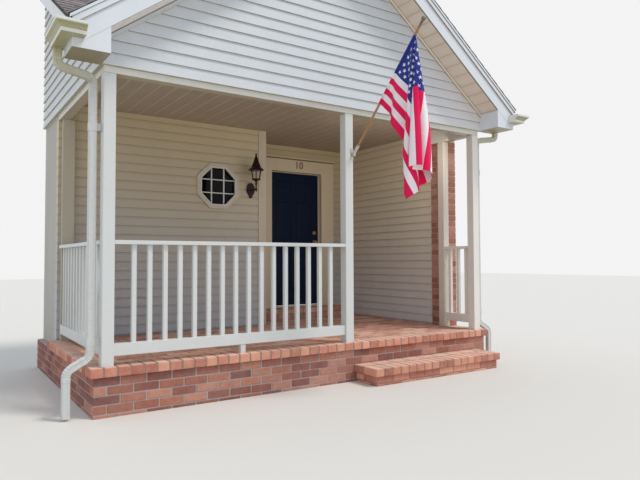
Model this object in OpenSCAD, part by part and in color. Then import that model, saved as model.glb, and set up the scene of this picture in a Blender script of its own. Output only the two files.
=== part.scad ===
// Front porch of a house, with its entry walls, cut plainly where the house goes on.
// Origin: ground level, midway between the outer posts, on the line of the post centres.
// +X runs to the right along the front, +Y goes back to the house, +Z is up.

/* [Floor and steps] */
// Height of the porch floor above the lowest ground
floor_h = 395; // [300:5:500]
// Thickness of the floor bricks and of the edge course
paving_t = 70; // [50:5:80]
// How far the edge course stands out over the brickwork
nosing = 25; // [10:5:40]
// Brickwork beyond the outer posts' centres, at each end
base_side = 108; // [90:2:140]
// Width of the edge course, a brick laid crosswise
edge_w = 200; // [180:5:220]
// Height of the lower step's tread above the ground
tread_h = 170; // [130:5:180]
// Depth of the lower step's tread
tread_d = 362; // [300:5:420]
// Height of the brick step under the door, above the floor
door_step_h = 150; // [120:5:180]
// Depth of the brick step under the door
door_step_d = 280; // [250:5:320]

/* [Posts and beams] */
// Distance between the outer posts' centres
porch_w = 4314; // [4200:2:4500]
// Distance from the left post to the middle post
first_bay = 2400; // [2300:5:2500]
// Side of each square post
post_w = 96; // [90:1:110]
// Height of the beams' underside above the floor
beam_clear = 2360; // [2300:5:2450]
// Depth of the beams
beam_h = 230; // [200:5:260]
// White band left showing under the siding
band_h = 55; // [40:5:80]
// Height of the ceiling above the floor
ceiling_clear = 2549; // [2500:1:2600]
// Thickness of the ceiling boards
ceiling_t = 18; // [12:1:24]
// Width of the post against the window wall
wall_post_w = 120; // [96:2:150]

/* [Railings] */
// Height of the railing's top above the floor
rail_h = 1011; // [900:1:1070]
// Thickness of the flat top rail
cap_t = 34; // [25:1:45]
// Width of the flat top rail
cap_w = 90; // [70:1:110]
// Space under the bottom rail
rail_gap = 80; // [50:5:100]
// Height of the bottom rail
low_rail_h = 98; // [60:1:110]
// Width of the bottom rail
low_rail_w = 60; // [40:1:80]
// Side of a square baluster
baluster_w = 38; // [32:1:45]
// Distance between baluster centres
baluster_step = 131.5; // [110:0.5:140]

/* [Walls] */
// Thickness of the framed walls
wall_t = 116; // [100:1:165]
// Window wall, from the post line to its face
window_wall_y = 1903; // [1700:1:2100]
// Door wall, from the post line to its face
door_wall_y = 2604; // [2400:1:2800]
// Outer corner where the window wall turns back to the door wall
jog_x = 304; // [200:1:400]
// Face of the brick corner at the right
brick_y = 441; // [400:1:500]
// Length of the brick return behind the right wall post
brick_len = 314; // [250:1:330]
// Thickness of siding and sheathing
skin = 20; // [12:1:30]
// Width of the corner board
corner_w = 111; // [90:1:130]

/* [Door] */
// Left edge of the door opening
door_x = 800; // [750:1:850]
// Clear width of the door opening
door_w = 870; // [820:1:914]
// Height of the door opening's head above the floor
door_head = 2165; // [2100:1:2200]
// Thickness of the jambs
jamb_t = 30; // [20:1:40]
// Width of the flat casing boards
casing_w = 225; // [100:1:240]
// Thickness of the casing boards
casing_t = 25; // [19:1:35]
// Thickness of the door leaf
leaf_t = 44; // [40:1:50]
// Gap round the door leaf
leaf_gap = 5; // [5:0.5:8]
// Radius of the hinge knuckles
knuckle_r = 7; // [6:0.5:8]
// Height of the board over the door, up to its cap
header_h = 195; // [150:1:215]

/* [Octagon window] */
// Centre of the window, across
oct_x = -350; // [-450:1:-250]
// Height of the window's centre above the floor
oct_h = 1773; // [1700:1:1850]
// Glass, across the flats
oct_glass = 456; // [400:1:460]
// Outer trim, across the flats
oct_trim = 564; // [540:1:620]

/* [Roof] */
// Slope of the gable roof, rise over run
gable_pitch = 0.75; // [0.65:0.01:0.8]
// Slope of the house roof behind it, rise over run
house_pitch = 0.563; // [0.5:0.001:0.62]
// From the outer posts' outer faces to the eave's face
eave_out = 300; // [250:5:350]
// From the posts' front faces to the rake boards' face
rake_out = 292; // [220:1:320]
// Width of the rake boards, square to the slope
rake_w = 176; // [150:1:200]
// Thickness of the rake boards
rake_t = 20; // [16:1:25]
// Width of the raised strip along the rake boards' upper edge
strip_w = 45; // [30:1:60]
// How far that strip stands out
strip_t = 15; // [10:1:20]
// Thickness of shingles and deck, measured upright
roof_t = 30; // [24:1:45]
// How far the shingles stand past the boards
drip = 20; // [10:1:40]
// Height of the house roof above the floor, over the post line
house_roof_h = 2825; // [2780:1:2870]

/* [Gutters] */
// Width of the gutter at its lip
gutter_w = 132; // [100:1:150]
// Height of the gutter
gutter_h = 86; // [75:1:100]
// Thickness of the gutter's metal
gutter_t = 2.5; // [2:0.5:4]
// Length of the gutter's leg along the front
gutter_front = 217; // [160:1:300]
// Length of the gutter's leg along the side
gutter_side = 472; // [350:1:520]
// How far the downspout's foot stands out beyond its upright run
spout_kick = 180; // [120:5:220]
// Width of the downspout
spout_w = 62; // [50:1:80]
// Depth of the downspout
spout_d = 50; // [40:1:60]

/* [Fittings] */
// Lantern's centre, across
lantern_x = 97; // [60:1:130]
// Lantern's centre in front of the window wall
lantern_out = 170; // [120:1:200]
// Length of the flag pole
pole_len = 1460; // [1200:10:1800]
// Radius of the flag pole
pole_r = 12; // [9:0.5:14]
// Upward tilt of the flag pole
pole_tilt = 45.6; // [30:0.5:60]
// Height of the pole's bracket above the floor
bracket_h = 1953; // [1700:1:2050]

/* [Hidden] */

// Plan lines
x_left = -porch_w / 2;
x_right = porch_w / 2;
x_mid = x_left + first_bay;
front_y = -post_w / 2;
side_x = porch_w / 2 + post_w / 2;
base_x = porch_w / 2 + base_side;
back_y = door_wall_y + wall_t;
skin_x = side_x + skin;
skin_y = front_y - skin;
outer_x = side_x + wall_t;

// Levels
base_top = floor_h - paving_t;
beam_z = floor_h + beam_clear;
beam_top = beam_z + beam_h;
siding_z = beam_z + band_h;
ceiling_z = floor_h + ceiling_clear;
door_step_z = floor_h + door_step_h;
head_z = floor_h + door_head;

// Roof lines
eave_x = side_x + eave_out;
rake_y = front_y - rake_out;
fascia_t = 20;
rake_v = rake_w * sqrt(1 + gable_pitch * gable_pitch);
return_z = siding_z;
return_y = -30;
house_z0 = floor_h + house_roof_h;
roof_x = eave_x + drip;
roof_y = rake_y - drip;

// Height of the rake boards' lower edge, and of the roofs' tops
function rake_low(x) = return_z + gable_pitch * (eave_x - abs(x));
function gable_top(x) = rake_low(x) + rake_v + roof_t;
function house_top(y) = house_z0 + house_pitch * y;
// Depth at which the two roofs meet, for a place across the front
function valley_y(x) = (gable_top(x) - house_z0) / house_pitch;
// Place across the front where they meet, for a depth
function valley_x(y) = (gable_top(0) - house_top(y)) / gable_pitch;

// Door leaf
leaf_x = door_x + leaf_gap;
leaf_w = door_w - 2 * leaf_gap - 2;
leaf_y = back_y - leaf_t;
leaf_z = door_step_z + 24;
leaf_top = head_z - leaf_gap;
pin_x = door_x + leaf_gap / 2;
pin_y = back_y + knuckle_r + 6;
knob_x = leaf_x + leaf_w - 70;
knob_z = leaf_z + 950;

// Octagon window and lantern
oct_z = floor_h + oct_h;
lantern_y = window_wall_y - lantern_out;
lantern_z = floor_h + 1880;

// Flag pole: the foot of the pole, on the middle post's front face
pole_x = x_mid + 46;
pole_y = front_y - 30;
pole_z = floor_h + bracket_h;
flag_from = 588;
flag_to = 1308;

white = [0.93, 0.94, 0.95];
cream = [0.86, 0.83, 0.74];
siding = [0.88, 0.87, 0.83];
brick = [0.55, 0.27, 0.2];
paver = [0.72, 0.42, 0.33];
shingle = [0.16, 0.16, 0.18];
navy = [0.07, 0.1, 0.19];
bronze = [0.12, 0.08, 0.06];

// A box given by its lowest and highest corners
module box(low, high) {
  translate(low) cube(high - low);
}

// An outline in X and Z, pushed back along Y
module front_plate(points, y0, y1) {
  translate([0, y1, 0]) rotate([90, 0, 0]) linear_extrude(y1 - y0) polygon(points);
}

// An outline in Y and Z, pushed along X
module side_plate(points, x0, x1) {
  translate([x0, 0, 0]) rotate([90, 0, 90]) linear_extrude(x1 - x0) polygon(points);
}

// A child at the left, and its mirror image at the right
module both_sides() {
  children();
  mirror([1, 0, 0]) children();
}

// The space under both roofs, which the walls fill up to
module under_roof() {
  reach = 3000;
  union() {
    front_plate([[-reach, 0], [reach, 0], [reach, gable_top(reach) - roof_t],
      [0, gable_top(0) - roof_t], [-reach, gable_top(reach) - roof_t]], -reach, back_y + 1);
    side_plate([[-reach, 0], [back_y + 1, 0], [back_y + 1, house_top(back_y + 1) - roof_t],
      [-reach, house_top(-reach) - roof_t]], -reach, reach);
  }
}

// Wall from the foundation up to the roof
module full_wall(x0, x1, y0, y1, z0) {
  intersection() {
    box([x0, y0, z0], [x1, y1, gable_top(0) + 100]);
    under_roof();
  }
}

module base_block() {
  color(brick) linear_extrude(base_top)
    polygon([[-base_x, front_y], [base_x, front_y], [base_x, brick_y], [outer_x, brick_y],
      [outer_x, back_y], [-base_x, back_y]]);
}

module floor_edge() {
  color(paver) translate([0, 0, base_top]) linear_extrude(paving_t) difference() {
    polygon([[-base_x - nosing, front_y - nosing], [base_x + nosing, front_y - nosing],
      [base_x + nosing, brick_y], [base_x + nosing - edge_w, brick_y],
      [base_x + nosing - edge_w, front_y - nosing + edge_w],
      [-base_x - nosing + edge_w, front_y - nosing + edge_w],
      [-base_x - nosing + edge_w, window_wall_y], [-base_x - nosing, window_wall_y]]);
  }
}

module floor_paving() {
  edge_x = base_x + nosing - edge_w;
  edge_y = front_y - nosing + edge_w;
  color(paver) translate([0, 0, base_top]) linear_extrude(paving_t)
    polygon([[-edge_x, edge_y], [edge_x, edge_y], [edge_x, brick_y], [side_x, brick_y],
      [side_x, door_wall_y], [jog_x, door_wall_y], [jog_x, window_wall_y],
      [-edge_x, window_wall_y]]);
}

module lower_step() {
  x0 = x_mid + post_w / 2;
  x1 = x_right - post_w / 2;
  y0 = front_y - tread_d;
  color(brick) union() {
    box([x0 + nosing, y0 + nosing, 0], [x1 - nosing, front_y, tread_h - paving_t]);
    box([x0, y0, tread_h - paving_t], [x1, front_y, tread_h]);
  }
}

module door_step() {
  x0 = door_x - casing_w - nosing;
  x1 = door_x + door_w + casing_w + nosing;
  color(brick) union() {
    box([x0, door_wall_y - door_step_d, floor_h], [x1, door_wall_y, door_step_z]);
    box([door_x - jamb_t, door_wall_y, base_top],
      [door_x + door_w + jamb_t, back_y, door_step_z]);
  }
}

module post(x, y, w, d) {
  color(white) box([x - w / 2, y - d / 2, floor_h], [x + w / 2, y + d / 2, beam_z]);
}

module front_posts() {
  for (x = [x_left, x_mid, x_right]) post(x, 0, post_w, post_w);
}

module wall_posts() {
  post(x_left + 41, window_wall_y - post_w / 2, wall_post_w, post_w);
  post(x_right, brick_y + post_w / 2, post_w, post_w);
}

// A railing that runs along +X from the origin
module railing(length, balusters, foot) {
  first = (length - (balusters - 1) * baluster_step) / 2;
  low_z = floor_h + rail_gap;
  high_z = floor_h + rail_h - cap_t;
  half = baluster_w / 2;
  color(white) union() {
    box([0, -cap_w / 2, high_z], [length, cap_w / 2, high_z + cap_t]);
    box([0, -low_rail_w / 2, low_z], [length, low_rail_w / 2, low_z + low_rail_h]);
    for (i = [0 : balusters - 1])
      translate([first + i * baluster_step, 0, 0])
        box([-half, -half, low_z + low_rail_h], [half, half, high_z]);
    if (foot) box([length / 2 - 25, -25, floor_h], [length / 2 + 25, 25, low_z]);
  }
}

module front_railing() {
  translate([x_left + post_w / 2, 0, 0]) railing(first_bay - post_w, 16, true);
}

module side_railings() {
  translate([x_left, post_w / 2, 0]) rotate([0, 0, 90])
    railing(window_wall_y - post_w * 1.5, 13, false);
  translate([x_right, post_w / 2, 0]) rotate([0, 0, 90])
    railing(brick_y - post_w / 2, 3, false);
}

module front_beam() {
  color(white) box([-side_x, front_y, beam_z], [side_x, -front_y, beam_top]);
}

module side_beams() {
  y1 = brick_y + brick_len;
  color(white) {
    box([-side_x, -front_y, beam_z], [-side_x + post_w, window_wall_y, beam_top]);
    box([side_x - post_w, -front_y, beam_z], [side_x, y1, beam_top]);
  }
}

module ceiling() {
  x0 = -side_x + post_w;
  x1 = side_x - post_w;
  y1 = brick_y + brick_len;
  color([0.6, 0.52, 0.42]) translate([0, 0, ceiling_z]) linear_extrude(ceiling_t)
    polygon([[x0, -front_y], [x1, -front_y], [x1, y1], [side_x, y1], [side_x, door_wall_y],
      [jog_x, door_wall_y], [jog_x, window_wall_y], [x0, window_wall_y]]);
}

// An octagon in X and Z, given across its flats
module octagon(flats, y0, y1) {
  r = flats / 2 / cos(22.5);
  translate([oct_x, y1, oct_z]) rotate([90, 0, 0]) linear_extrude(y1 - y0)
    rotate(22.5) circle(r, $fn = 8);
}

module window_wall() {
  color(siding) difference() {
    box([-side_x, window_wall_y, base_top], [jog_x, window_wall_y + wall_t, beam_top]);
    octagon(oct_glass + 20, window_wall_y - 1, window_wall_y + wall_t + 1);
  }
}

module return_wall() {
  color(siding) box([jog_x - wall_t, window_wall_y + wall_t, base_top],
    [jog_x, door_wall_y, beam_top]);
}

module door_wall_left() {
  color(siding) full_wall(jog_x - wall_t, door_x - jamb_t, door_wall_y, back_y, base_top);
}

module door_wall_right() {
  color(siding) full_wall(door_x + door_w + jamb_t, side_x, door_wall_y, back_y, base_top);
}

module door_wall_head() {
  color(siding) full_wall(door_x - jamb_t, door_x + door_w + jamb_t, door_wall_y, back_y,
    head_z + jamb_t);
}

// It runs on over the brick corner, from the beams' underside up
module side_wall() {
  color(siding) union() {
    full_wall(side_x, outer_x, brick_y + brick_len, back_y, base_top);
    full_wall(side_x, outer_x, brick_y, brick_y + brick_len, beam_z);
  }
}

module brick_corner() {
  color(brick) box([side_x, brick_y, base_top], [outer_x, brick_y + brick_len, beam_z]);
}

// Plain walls that close the room behind the window, where the house is cut
module house_wall() {
  color(siding) union() {
    box([-side_x, window_wall_y + wall_t, base_top], [-side_x + wall_t, back_y, beam_top]);
    box([-skin_x, window_wall_y + wall_t, siding_z], [-side_x, door_wall_y, beam_top]);
    full_wall(-side_x, jog_x - wall_t, door_wall_y, back_y, base_top);
    full_wall(-skin_x, -side_x, door_wall_y, back_y, siding_z);
  }
}

module corner_board() {
  t = 20;
  color(cream) union() {
    box([jog_x + t - corner_w, window_wall_y - t, floor_h], [jog_x + t, window_wall_y, ceiling_z]);
    box([jog_x, window_wall_y, floor_h], [jog_x + t, window_wall_y + corner_w, ceiling_z]);
  }
}

module gable_wall() {
  color(siding) union() {
    full_wall(-skin_x, skin_x, skin_y, front_y, siding_z);
    full_wall(-side_x, side_x, front_y, -front_y, beam_top);
  }
}

// Siding over the side beams, up to the eaves: to the plain wall at the left, and to the
// brick corner at the right
module upper_side_walls() {
  color(siding) {
    union() {
      full_wall(-skin_x, -side_x, front_y, window_wall_y + wall_t, siding_z);
      full_wall(-skin_x, -side_x, window_wall_y + wall_t, door_wall_y, beam_top);
      full_wall(-side_x, -side_x + post_w, -front_y, door_wall_y, beam_top);
    }
    union() {
      full_wall(side_x, skin_x, front_y, brick_y, siding_z);
      full_wall(side_x - post_w, side_x, -front_y, brick_y, beam_top);
    }
  }
}

// One slope of the gable roof, on the left
module gable_slope() {
  z0 = gable_top(roof_x);
  z1 = gable_top(0);
  color(shingle) intersection() {
    front_plate([[-roof_x, z0 - roof_t], [0, z1 - roof_t], [0, z1], [-roof_x, z0]],
      roof_y, back_y);
    linear_extrude(z1 + 10)
      polygon([[0, roof_y], [0, back_y], [-valley_x(back_y), back_y],
        [-roof_x, valley_y(roof_x)], [-roof_x, roof_y]]);
  }
}

// The house roof beside the gable, on the left
module house_slope() {
  y0 = valley_y(roof_x);
  color(shingle) intersection() {
    side_plate([[y0, house_top(y0) - roof_t], [back_y, house_top(back_y) - roof_t],
      [back_y, house_top(back_y)], [y0, house_top(y0)]], -roof_x, 0);
    linear_extrude(house_top(back_y) + 10)
      polygon([[-roof_x, y0], [-valley_x(back_y), back_y], [-roof_x, back_y]]);
  }
}

module gable_roof_left() { gable_slope(); }
module gable_roof_right() { mirror([1, 0, 0]) gable_slope(); }
module house_roof() { both_sides() house_slope(); }

// A band under the roof's edge, from height z0 to z1 over the rakes' lower edge
module rake_band(z0, z1, y0, y1) {
  low = rake_low(eave_x);
  peak = rake_low(0);
  front_plate([[-eave_x, low + z0], [0, peak + z0], [eave_x, low + z0], [eave_x, low + z1],
    [0, peak + z1], [-eave_x, low + z1]], y0, y1);
}

module rake_boards() {
  strip_v = strip_w * rake_v / rake_w;
  color(white) union() {
    rake_band(0, rake_v, rake_y, rake_y + rake_t);
    rake_band(rake_v - strip_v, rake_v, rake_y - strip_t, rake_y);
  }
}

module rake_soffit() {
  t = 12;
  z1 = rake_low(0) + 6;
  z0 = rake_low(skin_x) + 6;
  color(cream) front_plate([[-skin_x, z0], [0, z1], [skin_x, z0], [skin_x, z0 + t], [0, z1 + t],
    [-skin_x, z0 + t]], rake_y + rake_t, skin_y);
}

// A thin wall that fills up to the roofs
module to_roof(low, high) {
  full_wall(low[0], high[0], low[1], high[1], low[2]);
}

// Boxed end of the eave, on the left
module eave_return() {
  y0 = rake_y + rake_t;
  t = 12;
  color(white) union() {
    front_plate([[-eave_x, return_z], [-skin_x, return_z], [-skin_x, rake_low(skin_x)]],
      rake_y, y0);
    box([-eave_x, y0, return_z], [-skin_x, return_y, return_z + t]);
    to_roof([-eave_x, y0, return_z], [-eave_x + fascia_t, return_y]);
    to_roof([-eave_x, return_y - t, return_z], [-skin_x, return_y]);
    box([-skin_x - t, y0, return_z], [-skin_x, return_y, rake_low(skin_x + t)]);
  }
}

module eave_returns() { both_sides() eave_return(); }

// Fascia and sloped soffit under the edge of the house roof, on the left
module side_eave() {
  depth = 140;
  t = 12;
  under = roof_t + 0.1;
  z0 = house_top(return_y) - under;
  z1 = house_top(back_y) - under;
  color(white) union() {
    side_plate([[return_y, z0 - depth], [back_y, z1 - depth], [back_y, z1], [return_y, z0]],
      -eave_x, -eave_x + fascia_t);
    side_plate([[return_y, z0 - depth], [back_y, z1 - depth], [back_y, z1 - depth + t],
      [return_y, z0 - depth + t]], -eave_x + fascia_t, -skin_x);
  }
}

module side_eaves() {
  side_eave();
  difference() {
    mirror([1, 0, 0]) side_eave();
    box([side_x, brick_y, 0], [outer_x, back_y + 1, house_top(back_y)]);
  }
}

// Section of the gutter: u runs out from the eave, v goes up
function gutter_outer() = [[0, 0], [gutter_w * 0.68, 0], [gutter_w * 0.7, gutter_h * 0.3],
  [gutter_w * 0.84, gutter_h * 0.55], [gutter_w * 0.98, gutter_h * 0.72],
  [gutter_w, gutter_h * 0.8], [gutter_w, gutter_h], [0, gutter_h]];
function gutter_inner() = [[gutter_t, gutter_t], [gutter_w * 0.66, gutter_t],
  [gutter_w * 0.68, gutter_h * 0.32], [gutter_w * 0.82, gutter_h * 0.57],
  [gutter_w * 0.96, gutter_h * 0.74], [gutter_w - gutter_t, gutter_h * 0.82],
  [gutter_w - gutter_t, gutter_h + 1], [gutter_t, gutter_h + 1]];

// One leg of the gutter along +X, its back on Y = 0, mitred at X = 0
module gutter_leg(length, points, cap) {
  reach = gutter_w + 1;
  intersection() {
    translate([length - cap, 0, 0]) rotate([90, 0, -90]) linear_extrude(length + reach) polygon(points);
    linear_extrude(gutter_h + 2)
      polygon([[0, 0], [length, 0], [length, -reach], [-reach, -reach]]);
  }
}

module gutter() {
  top = return_z + 157;
  color(cream) translate([-eave_x, rake_y, top - gutter_h]) difference() {
    union() {
      gutter_leg(gutter_front - gutter_w, gutter_outer(), 0);
      mirror([1, -1, 0]) gutter_leg(gutter_side - gutter_w, gutter_outer(), 0);
    }
    gutter_leg(gutter_front - gutter_w, gutter_inner(), gutter_t);
    mirror([1, -1, 0]) gutter_leg(gutter_side - gutter_w, gutter_inner(), gutter_t);
  }
}

module gutters() { both_sides() gutter(); }

// Downspout: upright or steep runs, and a flat offset, as one bent tube of metal
module spout_run(a, b) {
  hull() {
    translate(a) cube([spout_w, spout_d, 1], center = true);
    translate(b) cube([spout_w, spout_d, 1], center = true);
  }
}
module spout_offset(a, b) {
  hull() {
    translate(a) cube([1, spout_d, spout_w], center = true);
    translate(b) cube([1, spout_d, spout_w], center = true);
  }
}

module downspout() {
  wall_x = -side_x - 35 - spout_w / 2;
  out_x = wall_x - spout_kick;
  drop_x = -eave_x - 45;
  drop_y = rake_y + gutter_side - gutter_w - 26;
  y = 35;
  z_out = return_z + 71;
  z_top = return_z - 60;
  z_low = beam_z - 43;
  foot = floor_h + 10;
  color(cream) union() {
    spout_run([drop_x, drop_y, z_out - 0.5], [drop_x, drop_y, z_top - spout_w / 2]);
    spout_offset([drop_x, drop_y, z_top], [wall_x, y, z_low]);
    spout_run([wall_x, y, z_low + spout_w / 2], [wall_x, y, foot + 70]);
    spout_run([wall_x, y, foot + 70], [out_x, y, foot - 30]);
    spout_run([out_x, y, foot - 30], [out_x, y, 20]);
    for (z = [floor_h + 165, beam_z - 475])
      box([wall_x, y - spout_d / 2 - 2, z], [-side_x, y + 12, z + 70]);
  }
}

module downspouts() { both_sides() downspout(); }

module window_frame() {
  y = window_wall_y;
  color(cream) difference() {
    union() {
      octagon(oct_trim, y - 24, y);
      octagon(oct_glass + 20, y, y + wall_t);
    }
    octagon(oct_glass, y - 25, y + wall_t + 1);
  }
}

module window_glass() {
  color([0.5, 0.6, 0.62, 0.4]) octagon(oct_glass, window_wall_y + 20, window_wall_y + 26);
}

module door_frame() {
  x0 = door_x;
  x1 = door_x + door_w;
  y = door_wall_y;
  stop = 12;
  color(cream) union() {
    box([x0 - casing_w, y - casing_t, door_step_z], [x0, y, head_z]);
    box([x1, y - casing_t, door_step_z], [x1 + casing_w, y, head_z]);
    box([x0 - casing_w, y - casing_t, head_z], [x1 + casing_w, y, head_z + header_h]);
    box([x0 - casing_w - 20, y - 50, head_z + header_h],
      [x1 + casing_w + 20, y, head_z + header_h + 22]);
    box([x0 - jamb_t, y, door_step_z], [x0, back_y, head_z]);
    box([x1, y, door_step_z], [x1 + jamb_t, back_y, head_z]);
    box([x0 - jamb_t, y, head_z], [x1 + jamb_t, back_y, head_z + jamb_t]);
    box([x0, y - 15, door_step_z], [x1, back_y, door_step_z + 17]);
    box([x0, leaf_y - 30, door_step_z], [x0 + stop, leaf_y - 6, head_z]);
    box([x1 - stop, leaf_y - 30, door_step_z], [x1, leaf_y - 6, head_z]);
    box([x0, leaf_y - 30, head_z - stop], [x1, leaf_y - 6, head_z]);
  }
}

// Six sunk panels on each face of the leaf
module door_leaf() {
  stile = 118;
  mid = 110;
  sunk = 9;
  panel_w = (leaf_w - 2 * stile - mid) / 2;
  leaf_h = leaf_top - leaf_z;
  rows = [[0.115, 0.4], [0.475, 0.79], [0.855, 0.945]];
  color(navy) difference() {
    box([leaf_x, leaf_y, leaf_z], [leaf_x + leaf_w, leaf_y + leaf_t, leaf_top]);
    for (r = rows, c = [0, 1], y = [leaf_y - 1, leaf_y + leaf_t - sunk])
      translate([leaf_x + stile + c * (panel_w + mid), y, leaf_z + r[0] * leaf_h])
        cube([panel_w, sunk + 1, (r[1] - r[0]) * leaf_h]);
  }
}

// A knob and a lock above it, on each face of the leaf
module door_knobs() {
  color([0.75, 0.62, 0.35])
    for (side = [0, 1])
      translate([knob_x, side ? leaf_y + leaf_t : leaf_y, knob_z])
        rotate([side ? -90 : 90, 0, 0]) {
          cylinder(h = 8, r = 32, $fn = 48);
          cylinder(h = 45, r = 11, $fn = 32);
          translate([0, 0, 45]) scale(1) sphere(26, $fn = 48);
          translate([0, side ? -140 : 140, 0]) cylinder(h = 16, r = 27, $fn = 48);
        }
}

module door_hinges() {
  h = 100;
  color([0.7, 0.6, 0.4])
    for (z = [leaf_z + 180, (leaf_z + leaf_top) / 2 - h / 2, leaf_top - 180 - h])
      union() {
        translate([pin_x, pin_y, z]) cylinder(h = h, r = knuckle_r, $fn = 32);
        box([door_x - jamb_t + 4, back_y, z], [pin_x - 4, back_y + 3, z + h]);
        box([pin_x - knuckle_r, back_y, z], [pin_x - 4, pin_y, z + h]);
      }
}

// A bell-shaped roof over a tapered cage, on a stem that an arm holds to a wall plate
module lantern_body() {
  y = window_wall_y;
  arm_z = lantern_z - 130;
  cage_h = 103;
  color(bronze) union() {
    translate([lantern_x, y, lantern_z - 118]) rotate([90, 0, 0]) scale([56, 84, 1])
      cylinder(h = 28, r = 1, $fn = 48);
    translate([lantern_x, y, lantern_z - 185]) rotate([90, 0, 0]) scale([26, 50, 1])
      cylinder(h = 26, r = 1, $fn = 40);
    translate([lantern_x, y, arm_z]) rotate([90, 0, 0]) cylinder(h = lantern_out, r = 9, $fn = 24);
    translate([lantern_x, lantern_y, lantern_z - 160]) rotate_extrude($fn = 48)
      polygon([[0, 0], [12, 6], [9, 20], [16, 32], [9, 44], [9, 88], [20, 98], [9, 108],
        [11, 125], [30, 140], [54, 148], [58, 152], [58, 160], [0, 160]]);
    for (a = [0 : 60 : 300])
      translate([lantern_x, lantern_y, lantern_z - 2]) rotate(a) translate([47, 0, 0])
        rotate([0, 12, 0]) translate([-4, -4, 0]) cube([8, 8, cage_h + 8]);
    translate([lantern_x, lantern_y, lantern_z + cage_h]) rotate_extrude($fn = 48)
      polygon([[0, 0], [74, 0], [99, 8], [99, 13], [87, 25], [61, 46], [52, 76], [37, 110],
        [26, 143], [16, 178], [8, 199], [8, 207], [12, 214], [8, 222], [0, 227]]);
  }
}

module lantern_glass() {
  color([0.8, 0.85, 0.85, 0.4]) translate([lantern_x, lantern_y, lantern_z])
    difference() {
      cylinder(h = 103, r1 = 41.5, r2 = 62, $fn = 48);
      translate([0, 0, -1]) cylinder(h = 105, r1 = 38.3, r2 = 59.2, $fn = 48);
    }
}

// Places a child along the pole, its foot at the origin
module along_pole() {
  translate([pole_x, pole_y, pole_z]) rotate([90 - pole_tilt, 0, 0]) children();
}

module flag_bracket() {
  color([0.75, 0.74, 0.7]) union() {
    box([pole_x - 30, front_y - 5, pole_z - 75], [pole_x + 2, front_y, pole_z + 45]);
    difference() {
      union() {
        along_pole() translate([0, 0, -20]) cylinder(h = 110, r = pole_r + 5, $fn = 40);
        box([pole_x - 14, front_y - 45, pole_z - 40], [pole_x + 2, front_y, pole_z - 5]);
      }
      along_pole() translate([0, 0, -10]) cylinder(h = 120, r = pole_r, $fn = 40);
    }
  }
}

module flag_pole() {
  color([0.5, 0.36, 0.2]) along_pole() union() {
    translate([0, 0, -10]) cylinder(h = pole_len, r = pole_r, $fn = 40);
    translate([0, 0, pole_len + 8]) sphere(23, $fn = 40);
  }
}

// One hanging panel of the flag, from a length of the pole down to two points of its free end
module flag_panel(t0, t1, p0, p1) {
  thick = 12;
  hull() {
    for (t = [t0, t1])
      along_pole() translate([0, -pole_r - 4, t]) cube([thick, 10, 2], center = true);
    for (p = [p0, p1])
      translate([pole_x + p[0], p[1], p[2]]) cube(thick, center = true);
  }
}

// The flag hangs limp from the upper half of the pole, gathered in folds
module flag() {
  y = pole_y - flag_to * cos(pole_tilt);
  step = (flag_to - flag_from) / 4;
  ends = [[-96, y + 38, 1779], [42, y + 19, 1880], [98, y - 100, 1990], [-43, y - 44, 2040],
    [-69, y - 120, 2065]];
  color([0.75, 0.1, 0.2]) difference() {
    union() {
      for (i = [0 : 3])
        flag_panel(flag_from + i * step, flag_from + (i + 1) * step, ends[i], ends[i + 1]);
    }
    along_pole() translate([0, 0, flag_from - 40])
      cylinder(h = flag_to - flag_from + 80, r = pole_r, $fn = 40);
  }
}

base_block();
floor_paving();
floor_edge();
lower_step();
door_step();
front_posts();
wall_posts();
front_railing();
side_railings();
front_beam();
side_beams();
ceiling();
window_wall();
return_wall();
door_wall_left();
door_wall_right();
door_wall_head();
side_wall();
brick_corner();
house_wall();
corner_board();
gable_wall();
upper_side_walls();
gable_roof_left();
gable_roof_right();
house_roof();
rake_boards();
rake_soffit();
eave_returns();
side_eaves();
gutters();
downspouts();
window_frame();
window_glass();
door_frame();
door_leaf();
door_knobs();
door_hinges();
lantern_body();
lantern_glass();
flag_bracket();
flag_pole();
flag();
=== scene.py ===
# %% [markdown]
# # A gabled front porch
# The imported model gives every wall, post, rail and slab at its true place and size. This script
# dresses that frame: lapped siding, brickwork, shingles, a boarded ceiling, a hanging flag, and
# the materials.

import math
import random
from functools import partial

import bmesh
import bpy
from mathutils import Matrix, Vector


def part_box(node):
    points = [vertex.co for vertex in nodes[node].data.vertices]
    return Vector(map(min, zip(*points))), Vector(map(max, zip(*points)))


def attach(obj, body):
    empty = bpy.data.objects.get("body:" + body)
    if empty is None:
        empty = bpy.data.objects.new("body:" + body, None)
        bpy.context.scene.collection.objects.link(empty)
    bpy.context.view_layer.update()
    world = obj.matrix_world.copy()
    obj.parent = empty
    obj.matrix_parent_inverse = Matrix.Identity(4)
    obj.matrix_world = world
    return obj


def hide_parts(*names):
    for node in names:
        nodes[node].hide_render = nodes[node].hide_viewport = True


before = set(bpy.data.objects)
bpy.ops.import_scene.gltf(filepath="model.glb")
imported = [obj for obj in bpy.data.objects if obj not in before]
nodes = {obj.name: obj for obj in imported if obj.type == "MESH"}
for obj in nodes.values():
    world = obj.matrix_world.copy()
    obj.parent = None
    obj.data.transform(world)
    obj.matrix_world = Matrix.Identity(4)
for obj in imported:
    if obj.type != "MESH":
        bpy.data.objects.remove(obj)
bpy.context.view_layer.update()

# %% [markdown]
# ## Places
# Boards and bricks sit on the solids, so their places come from the solids' boxes. Only what
# the boxes can't say, such as a roof's slope or the height of a course, is a number here.

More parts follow.
